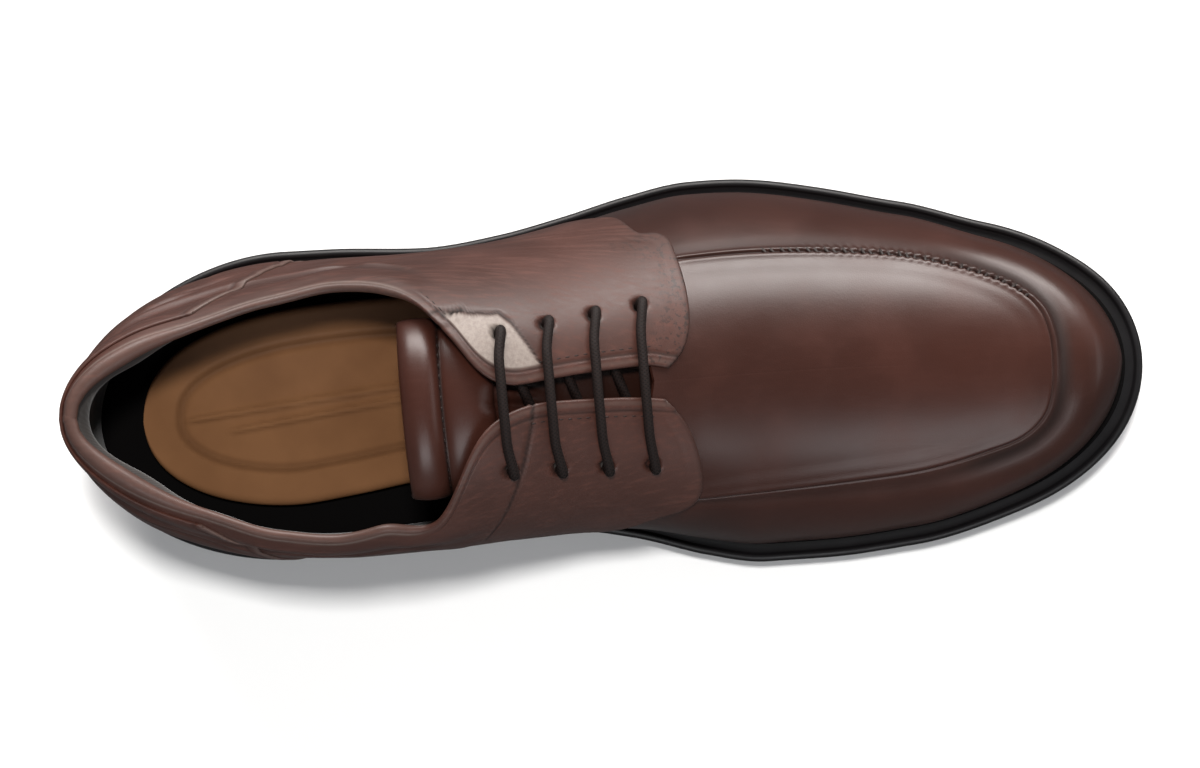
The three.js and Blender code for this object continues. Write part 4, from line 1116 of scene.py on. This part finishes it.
def slice_of(bm, y0, y1):
    """The part of a closed solid between two upright planes across the shoe, its cuts filled."""
    cut = bm.copy()
    for y, inner, outer in ((y0, True, False), (y1, False, True)):
        made = bmesh.ops.bisect_plane(cut, geom=cut.verts[:] + cut.edges[:] + cut.faces[:], dist=1e-5,
                                      plane_co=(0, y, 0), plane_no=(0, 1, 0), clear_inner=inner, clear_outer=outer)
        edges = [e for e in made["geom_cut"] if isinstance(e, bmesh.types.BMEdge)]
        bmesh.ops.holes_fill(cut, edges=edges, sides=0)
    return cut


def join_into(bm, other):
    mesh = bpy.data.meshes.new("part")
    other.to_mesh(mesh)
    bm.from_mesh(mesh)
    bpy.data.meshes.remove(mesh)
    other.free()


def lace_path():
    above, below = QUARTER_STEP + LACE / 2 + 2 * CLEAR, -(WALL + LACE / 2 + 2 * CLEAR)
    points = []

    def run(start, end, grow, aside=0.0):
        for k in range(1, 6):
            place = start + (end - start) * k / 6
            points.append(over(place[0] - aside, place[1], grow))

    def through(place, start, end):
        here, normal = outwards(place[0], place[1], 0.0)
        for grow in (start, (start + end) / 2, end):
            points.append(here + normal * grow)

    for i in range(EYELETS):
        inner, outer = eyelet(i, INNER), eyelet(i, OUTER)
        through(inner, below, above - LACE / 4)
        run(inner, outer, above)
        through(outer, above - LACE / 4, below)
        if i + 1 < EYELETS:
            run(outer, eyelet(i + 1, INNER), below)
    run(eyelet(EYELETS - 1, OUTER), eyelet(0, OUTER), below, LACE_END_ASIDE)
    return resample(np.array(points), 900)


def tongue_grid(rows=150, columns=70):
    under = -(WALL + 1.6 * LACE)
    middle = (gap_x(OUTER) + gap_x(INNER)) / 2 + TONGUE_MIDDLE
    share = np.linspace(0, 1, rows) ** 1.35
    y = TONGUE_TOP_Y + (TONGUE_END_Y - TONGUE_TOP_Y) * share
    out = np.linspace(-1, 1, columns)
    half = TONGUE_WIDTH / 2 * (1 - TONGUE_NARROWING * smooth(share))
    x = (middle * (1 - share) + centre_x(y) * share)[:, None] + out[None] * half[:, None]
    yy = y[:, None] + out[None] * TONGUE_SLANT * (1 - share)[:, None] / 2
    here, normal = outwards(x, yy, under)
    return share, y, out, here, normal


# ---- Operators


class ShoeLook(bpy.types.PropertyGroup):
    leather_colour: bpy.props.FloatVectorProperty(
        name="Leather colour", description="Middle colour of the brown leather", subtype="COLOR",
        size=3, min=0, max=1, default=linear(53, 27, 20))
    leather_roughness: bpy.props.FloatProperty(
        name="Leather roughness", description="How matt the polished leather is", subtype="FACTOR",
        min=0, max=1, default=0.36)
    stitch_length: bpy.props.FloatProperty(
        name="Stitch length", description="Length of one stitch on the upper", subtype="DISTANCE",
        unit="LENGTH", min=0.0005, max=0.005, default=0.0017)


class SHOE_OT_camera(bpy.types.Operator):
    """Places the camera straight above the shoe, turned as in the photograph"""
    bl_idname = "shoe.camera"
    bl_label = "Camera"

    def execute(self, context):
        roll, med, toe = math.radians(3.0), math.radians(2.0), math.radians(3.0)
        right0 = np.array([math.sin(roll), math.cos(roll), 0.0])
        up0 = np.array([-math.cos(roll), math.sin(roll), 0.0])
        back = np.array([0, 0, 1.0]) - math.tan(med) * up0 + math.tan(toe) * right0
        back = back / np.linalg.norm(back)
        right = unit(right0 - back * (right0 @ back))
        up = np.cross(back, right)
        place = (np.array([-5.207, 145.65, 0.0]) + back * 1100.0 + MIDDLE) * 0.001
        data = bpy.data.cameras.new("camera")
        data.sensor_width, data.lens = 36.0, 3.46 * 1100.0 / 1200.0 * 36.0
        data.clip_start, data.clip_end = 0.01, 50.0
        camera = bpy.data.objects.new("camera", data)
        camera.matrix_world = Matrix((
            (right[0], up[0], back[0], place[0]),
            (right[1], up[1], back[1], place[1]),
            (right[2], up[2], back[2], place[2]),
            (0, 0, 0, 1)))
        context.scene.collection.objects.link(camera)
        context.scene.camera = camera
        return {"FINISHED"}


class SHOE_OT_stage(bpy.types.Operator):
    """Adds the pale floor, the soft studio lights and the sky light"""
    bl_idname = "shoe.stage"
    bl_label = "Floor and lights"

    def execute(self, context):
        bm = bmesh.new()
        bmesh.ops.create_grid(bm, x_segments=1, y_segments=1, size=6000.0)
        for vert in bm.verts:
            vert.co = vert.co * 0.001
        mesh = bpy.data.meshes.new("floor")
        bm.to_mesh(mesh)
        bm.free()
        floor = bpy.data.objects.new("floor", mesh)
        context.scene.collection.objects.link(floor)
        mesh.materials.append(Finish("pale_floor", Base_Color=(0.86, 0.86, 0.86), Roughness=0.9,
                                     Specular_IOR_Level=0.1).material)
        floor.visible_glossy = False
        world = bpy.data.worlds.new("studio")
        context.scene.world = world
        world.use_nodes = True
        world.node_tree.nodes["Background"].inputs["Color"].default_value = (0.95, 0.97, 1.0, 1.0)
        world.node_tree.nodes["Background"].inputs["Strength"].default_value = 0.11
        for name, place, aim, size, power, colour in (
            ("side_box", (-1.0, 0.08, 0.42), (0, 0.02, 0.05), (1.6, 0.34), 16.0, (1.0, 0.96, 0.93)),
            ("high_box", (-1.0, 0.08, 0.66), (0, 0.02, 0.05), (1.4, 0.28), 11.5, (1.0, 0.96, 0.93)),
            ("inner_box", (0.82, 0.12, 0.88), (0.02, 0.04, 0.03), (0.9, 0.56), 5.4, (0.97, 0.98, 1.0)),
            ("key", (-0.24, 0.05, 1.6), (0, 0, 0), (0.17, 0.17), 22.0, (1.0, 0.99, 0.97)),
            ("toe_box", (-0.1, 1.05, 0.4), (0, 0.1, 0.03), (0.8, 0.35), 1.0, (1, 1, 1)),
        ):
            data = bpy.data.lights.new(name, "AREA")
            data.shape, data.size, data.size_y, data.energy, data.color = "RECTANGLE", *size, power, colour
            light = bpy.data.objects.new(name, data)
            context.scene.collection.objects.link(light)
            light.location = place
            light.rotation_mode = "QUATERNION"
            light.rotation_quaternion = (Vector(aim) - Vector(place)).to_track_quat("-Z", "Y")
            light.visible_glossy = name != "key"
        context.scene.view_settings.view_transform = "Standard"
        return {"FINISHED"}


class SHOE_OT_sole(bpy.types.Operator):
    """Builds the rubber sole: heel, outsole with its lugs, and midsole with its welt"""
    bl_idname = "shoe.sole"
    bl_label = "Sole"

    def execute(self, context):
        rubber = finish_of("rubber")

        def lift(up):
            return lambda y: sole_foot(y) + up

        side = [(0.9, 0.0), (0.35, 0.35), (0.12, 1.0), (0.12, 2.9), (0.35, 3.2), (1.25, 3.4), (1.25, 4.2),
                (0.35, 4.4), (0.12, 4.7), (0.12, 6.1), (0.45, 6.5)]
        body = stacked([(inset * 1.3, lift(max(up, LUG_DEPTH))) for inset, up in side if up >= 1.0 or up == 0.0])
        tread = stacked([(1.3, lift(0.0)), (0.6, lift(0.4)), (0.2, lift(LUG_DEPTH + 0.2))])
        last = SOLE_LENGTH - TOE_WELT - LUG_PITCH
        gaps = [TREAD_START_Y + k * LUG_PITCH for k in range(40) if TREAD_START_Y + k * LUG_PITCH < last]
        starts = [-1.0] + [g + LUG_GAP / 2 for g in gaps]
        stops = [g - LUG_GAP / 2 for g in gaps] + [SOLE_LENGTH + 1]
        for a, b in zip(starts, stops):
            join_into(body, slice_of(tread, a, b))
        tread.free()
        make("outsole_rubber", body, rubber, ["outsole"])

        def flat(z):
            return lambda y: np.full(np.shape(y), z)

        def share(part):
            return lambda y: part * (sole_foot(y) - CLEAR)

        third = HEEL_LIFT / 3
        heel = stacked([
            (HEEL_TAPER + 0.5, flat(LUG_DEPTH)), (HEEL_TAPER, flat(LUG_DEPTH + 0.01)), (1.9, flat(third - 0.4)),
            (2.1, flat(third)), (2.7, flat(third + 0.1)), (2.7, flat(third + 0.9)), (2.0, flat(third + 1.0)),
            (1.75, flat(third + 1.4)), (1.2, share(0.93)), (1.5, share(1.0)),
        ], flat_front=True, end=HEEL_BREAST, count=90)
        piece = stacked([(HEEL_TAPER + 0.5, flat(0.0)), (HEEL_TAPER, flat(0.5)), (HEEL_TAPER, flat(LUG_DEPTH + 0.2))],
                        flat_front=True, end=HEEL_BREAST, count=90)
        gaps = [HEEL_LUG_PITCH * (k + 1) for k in range(5)]
        for a, b in zip([-1.0] + [g + LUG_GAP / 2 for g in gaps], [g - LUG_GAP / 2 for g in gaps] + [HEEL_BREAST + 1]):
            join_into(heel, slice_of(piece, a, b))
        piece.free()
        make("heel_rubber", heel, rubber, ["heel"])

        def welt(up):
            return lambda y: seat(y) - MIDSOLE_THICKNESS + up

        top = MIDSOLE_THICKNESS + RIM_HEIGHT
        levels = [(0.55, welt(0.0)), (0.2, welt(0.15)), (0.02, welt(0.6)), (0.0, welt(1.6)), (0.02, welt(2.4)),
                  (0.2, welt(top - 0.75)), (0.6, welt(top - 0.3)), (1.1, welt(top - 0.06)), (1.5, welt(top)),
                  (1.85, welt(top - 0.1)), (2.15, welt(top - 0.5)), (2.35, welt(top - 1.2)), (2.8, welt(top - 1.35)),
                  (4.0, welt(top - 1.2)), (8.0, welt(MIDSOLE_THICKNESS - 0.3))]
        make("welt_rubber", stacked(levels, count=180), rubber, ["midsole"])
        return {"FINISHED"}


class SHOE_OT_upper(bpy.types.Operator):
    """Builds the leather upper: vamp with its apron seam, quarters, heel overlays and lining"""
    bl_idname = "shoe.upper"
    bl_label = "Upper"

    def execute(self, context):
        leather_finish = finish_of("leather")
        threads = bmesh.new()
        _, share, turn, points, seam_row, way, _ = vamp_sheet()
        share, turn, signed = refine_rows(share, turn, seam_row, points)
        bare = skin(share, turn)
        relief, shade = vamp_relief(bare, signed, way)
        outer = skin(share, turn, relief)
        body = double_sheet(outer, 1.3, {"shade": shade, "wear_and_highlight": np.zeros_like(shade)},
                            edges=("bottom", "top"), outward=np.array([0, 0, 1.0]))
        make("vamp", body, leather_finish, ["upper"])
        row = int(np.argmin(np.abs(signed[:, 0] - 0.55)))
        normals = normals_of(outer)
        if normals[..., 2].mean() < 0:
            normals = -normals
        for c in range(8, outer.shape[1] - 8):
            y, x = bare[row, c, 1], bare[row, c, 0]
            if x < -21 and y > 194 and int(way[c] / GATHER + 0.25) != int(way[c - 1] / GATHER + 0.25):
                across = outer[row + 4, c] - outer[row - 4, c]
                add_stitch(threads, outer[row, c] + normals[row, c] * 0.1, across, normals[row, c], 4.0, 0.55)
        for side, word in ((OUTER, "outer"), (INNER, "inner")):
            quarter = QuarterMap(side)
            edge = front_edge(side, quarter)
            make(f"quarter_{word}", quarter_sheet(side, quarter, edge), finish_of("brushed_leather_painted_sheen"), ["upper"])
            make(f"heel_overlay_{word}", counter_sheet(side, quarter), finish_of("brushed_leather_painted_sheen"), ["upper"])
            self.stitch_quarter(threads, side, quarter, edge)
            self.line(side, word, quarter)
        make("upper_stitches", threads, finish_of("thread"))
        return {"FINISHED"}

    def stitch_quarter(self, threads, side, quarter, edge):
        """Stitches beside the front edge and along the facing's groove."""
        length = bpy.context.scene.shoe_look.stitch_length * 1000
        share, row = beside(edge, 3.6)[10:-8].T
        self.sew(threads, quarter, share, np.clip(row, 0, 1), 1.15, length)
        down = 4.4
        share = np.linspace(float(share_of(101)), float(share_of(164)), 200)
        self.sew(threads, quarter, share, np.full(200, 1 - down / quarter.MEAN), 1.35, length)

    def sew(self, threads, quarter, share, row, grow, length):
        turn = quarter.turn(share, row)
        path, above = leather(share, turn, grow), leather(share, turn, grow + 1.0)
        stitch_row(threads, path, unit(above - path), length=length, gap=0.9, radius=0.22, sink=0.08)

    def line(self, side, word, quarter):
        """The grey lining inside, from just below the collar's inner fold to the insole."""
        count = (60, 120)
        rows = 1 - (1.6 + (quarter.MEAN * 0.97 - 1.6) * np.linspace(1, 0, count[0]) ** 1.5) / quarter.MEAN
        share = float(share_of(150)) * (1 - np.cos(np.linspace(0, math.pi / 2, count[1])))
        grid_share, grid_row = np.meshgrid(share, rows)
        turn = quarter.turn(grid_share, grid_row)
        down = (1 - grid_row) * quarter.MEAN
        collar = smooth((106 - grid_share * 289) / 12)
        heel_sides = bump(grid_share * 289 - 16, 18)
        outer = leather(grid_share, turn, -0.3 - (0.5 + 0.4 * heel_sides) * collar * smooth((16 - down) / 12))
        swell = collar * (3.0 + 2.6 * heel_sides) * np.where(down < 8, bump(down - 8, 7), bump(down - 8, 22))
        bm = double_sheet(outer, 0.9 + swell, outward=np.array([side, 0, 1.0]))
        make(f"lining_{word}", bm, finish_of("lining"))


class SHOE_OT_tongue(bpy.types.Operator):
    """Builds the padded tongue with its two rolls and the seam between them"""
    bl_idname = "shoe.tongue"
    bl_label = "Tongue"

    def execute(self, context):
        share, y, out, here, normal = tongue_grid()
        gone = (y - TONGUE_TOP_Y)[:, None]
        first = 5.2 * np.sqrt(np.maximum(1 - ((gone - 5.0) / 5.6) ** 2, 0))
        second = 4.1 * np.sqrt(np.maximum(1 - ((gone - 17.2) / 7.2) ** 2, 0))
        edge = np.sqrt(np.maximum(1 - 0.92 * np.abs(out[None]) ** 5, 0))
        fold = np.zeros_like(first * out[None])
        for start, stop, depth in ((-0.8, -0.2, 1.0), (-0.45, -0.02, 1.3), (0.0, 0.1, 0.9), (0.5, 0.22, 1.1)):
            line = start + (stop - start) * np.clip((gone - 15) / 22, 0, 1)
            reach = bump(gone - 29, 12)
            fold = fold + depth * reach * (0.6 * bump(out[None] - line - 0.11, 0.12) - bump(out[None] - line, 0.08))
        lift = np.maximum(first, second) * edge + 0.3 * np.sin(out[None] * 7 + gone * 0.25) * bump(gone - 27, 9)
        lift = lift * (0.92 + 0.08 * np.cos(out[None] * 3)) + fold - 1.4 * (1 - edge)
        outer = here + normal * (lift - 1.6)[..., None]
        seam = bump(gone - 10.3, 0.9)
        # Painted shade in the crease between the rolls and at the end of the second roll, and painted shadow where the
        # tongue runs under the facings and laces.
        shade = 0.85 * seam + 0.35 * bump(gone - 24.6, 1.6) + 0.6 * smooth((gone - 25) / 7)
        shade = np.broadcast_to(shade, outer.shape[:2])
        wear_and_highlight = np.zeros(outer.shape[:2])
        thickness = 2.0 + 0.75 * np.maximum(first, second) * edge
        bm = double_sheet(outer, thickness, {"shade": shade, "wear_and_highlight": wear_and_highlight}, outward=np.array([0, 0, 1.0]))
        piece = make("tongue_padding", bm, finish_of("tongue_leather"), ["tongue"])
        threads = bmesh.new()
        row = int(np.argmin(np.abs(y - TONGUE_TOP_Y - 10.3)))
        path = outer[row, 4:-4]
        normals = normals_of(outer)
        up = normals[row, 4:-4] * np.sign(normals[..., 2].mean())
        stitch_row(threads, path, up, length=1.5, gap=1.3, radius=0.32, sink=-0.15)
        make("tongue_stitches", threads, finish_of("thread"))
        return {"FINISHED"}


class SHOE_OT_insole(bpy.types.Operator):
    """Builds the moulded tan insole with its raised rim and two long raised lines"""
    bl_idname = "shoe.insole"
    bl_label = "Insole"

    def execute(self, context):
        rows, columns = 190, 112
        k = np.linspace(0, 1, rows)
        start, end = INSOLE_HEEL_GAP, SOLE_LENGTH - INSOLE_TOE_GAP
        y = start + (end - start) * (1 - np.cos(math.pi * k)) / 2
        blunt = (1 - (1 - np.clip((y - start + 0.01) / 52, 0, 1)) ** 2.3) ** (1 / 2.3)
        ends = blunt * round_end(end - y + 0.02, TOE_ROUND)
        out = np.sin(np.linspace(-math.pi / 2, math.pi / 2, columns))
        half = np.where(out[None] < 0, outline("bedOut", y)[:, None], outline("bedIn", y)[:, None]) * ends[:, None]
        x = centre_x(y)[:, None] + out[None] * half
        yy = np.broadcast_to(y[:, None], x.shape)
        rim_line = np.concatenate([np.stack([x[:, k], y], 1) for k in (0, -1)])
        inset = np.min([np.hypot(x - a, yy - b) for a, b in rim_line], 0)
        rim = smooth((10.8 - inset) / 2.4)
        margin = (1 - np.abs(out[None])) * half
        edge_fall = 1 - np.sqrt(np.maximum(1 - np.clip(1 - margin / 2.4, 0, 1) ** 2, 0))
        groove = bump(inset - 10.8, 1.7) * smooth((150 - yy) / 20)
        dish = -0.8 * bump(x - centre_x(yy) + 1, 22) * bump(yy - 48, 42)
        lines = self.ridge(x, yy, (28.0, 0.6), (100.0, -7.6), 1.5) + self.ridge(x, yy, (40.0, 4.2), (100.0, -4.0), 1.5)
        top = INSOLE_THICKNESS + 1.75 * rim - 0.6 * groove + dish + 1.5 * lines - 2.2 * edge_fall
        outer = np.stack([x, yy, seat(yy) + CLEAR + top], -1)
        # Painted shade in the groove at the step inside the rim.
        shade = 0.35 * groove
        bm = double_sheet(outer, np.maximum(top - 0.25, 0.8), {"shade": shade}, outward=np.array([0, 0, 1.0]))
        make("insole_sock", bm, finish_of("sock"), ["insole"])
        # A matt black sheet on the seat, showing in the gap round the insole as painted shadow.
        board = [(5.2, lambda y: seat(y) + 0.02), (5.0, lambda y: seat(y) + 0.12), (5.2, lambda y: seat(y) + 0.22)]
        make("insole_shadow_board", stacked(board, count=90), finish_of("shadow_felt"))
        return {"FINISHED"}

    @staticmethod
    def ridge(x, y, start, end, width):
        (ya, xa), (yb, xb) = start, end
        line = xa + (xb - xa) * (y - ya) / (yb - ya)
        return bump(x - line, width) * smooth((y - ya) / 6) * smooth((140 - y) / 30)


class SHOE_OT_lace(bpy.types.Operator):
    """Runs the braided lace through the eyelets in bars, with its ends hidden under the facings"""
    bl_idname = "shoe.lace"
    bl_label = "Lace"

    def execute(self, context):
        path, sides = lace_path(), 14
        grid = tube(path, LACE / 2 * 0.97, sides)
        way = np.concatenate([[0], np.cumsum(np.linalg.norm(np.diff(path, axis=0), axis=1))])
        angle = np.broadcast_to(np.linspace(0, 2 * math.pi, sides, endpoint=False), grid.shape[:2])
        values = {"round_x": np.cos(angle), "round_y": np.sin(angle),
                  "along": np.broadcast_to(way[:, None], grid.shape[:2])}
        bm = bmesh.new()
        add_grid(bm, grid, values, wrap_columns=True)
        bmesh.ops.remove_doubles(bm, verts=bm.verts, dist=1e-4)
        bmesh.ops.holes_fill(bm, edges=[e for e in bm.edges if e.is_boundary], sides=0)
        bmesh.ops.recalc_face_normals(bm, faces=bm.faces)
        make("lace_cord", bm, finish_of("cord"), ["lace"])
        return {"FINISHED"}


class SHOE_PT_panel(bpy.types.Panel):
    """Lists the sizes, colours and pieces of the shoe"""
    bl_idname = "SHOE_PT_panel"
    bl_label = "Shoe"
    bl_space_type = "VIEW_3D"
    bl_region_type = "UI"
    bl_category = "Shoe"

    def draw(self, context):
        look = context.scene.shoe_look
        for name in ("leather_colour", "leather_roughness", "stitch_length"):
            self.layout.prop(look, name)
        for operator in OPERATORS:
            self.layout.operator(operator.bl_idname)


OPERATORS = (SHOE_OT_camera, SHOE_OT_stage, SHOE_OT_sole, SHOE_OT_upper, SHOE_OT_tongue, SHOE_OT_insole, SHOE_OT_lace)


def register():
    for cls in (ShoeLook, *OPERATORS, SHOE_PT_panel):
        bpy.utils.register_class(cls)
    bpy.types.Scene.shoe_look = bpy.props.PointerProperty(type=ShoeLook)


def unregister():
    del bpy.types.Scene.shoe_look
    for cls in reversed((ShoeLook, *OPERATORS, SHOE_PT_panel)):
        bpy.utils.unregister_class(cls)


def main():
    register()
    bpy.ops.shoe.camera()
    bpy.ops.shoe.stage()
    bpy.ops.shoe.sole()
    bpy.ops.shoe.upper()
    bpy.ops.shoe.tongue()
    bpy.ops.shoe.insole()
    bpy.ops.shoe.lace()
    bpy.context.view_layer.update()


if __name__ == "__main__":
    main()
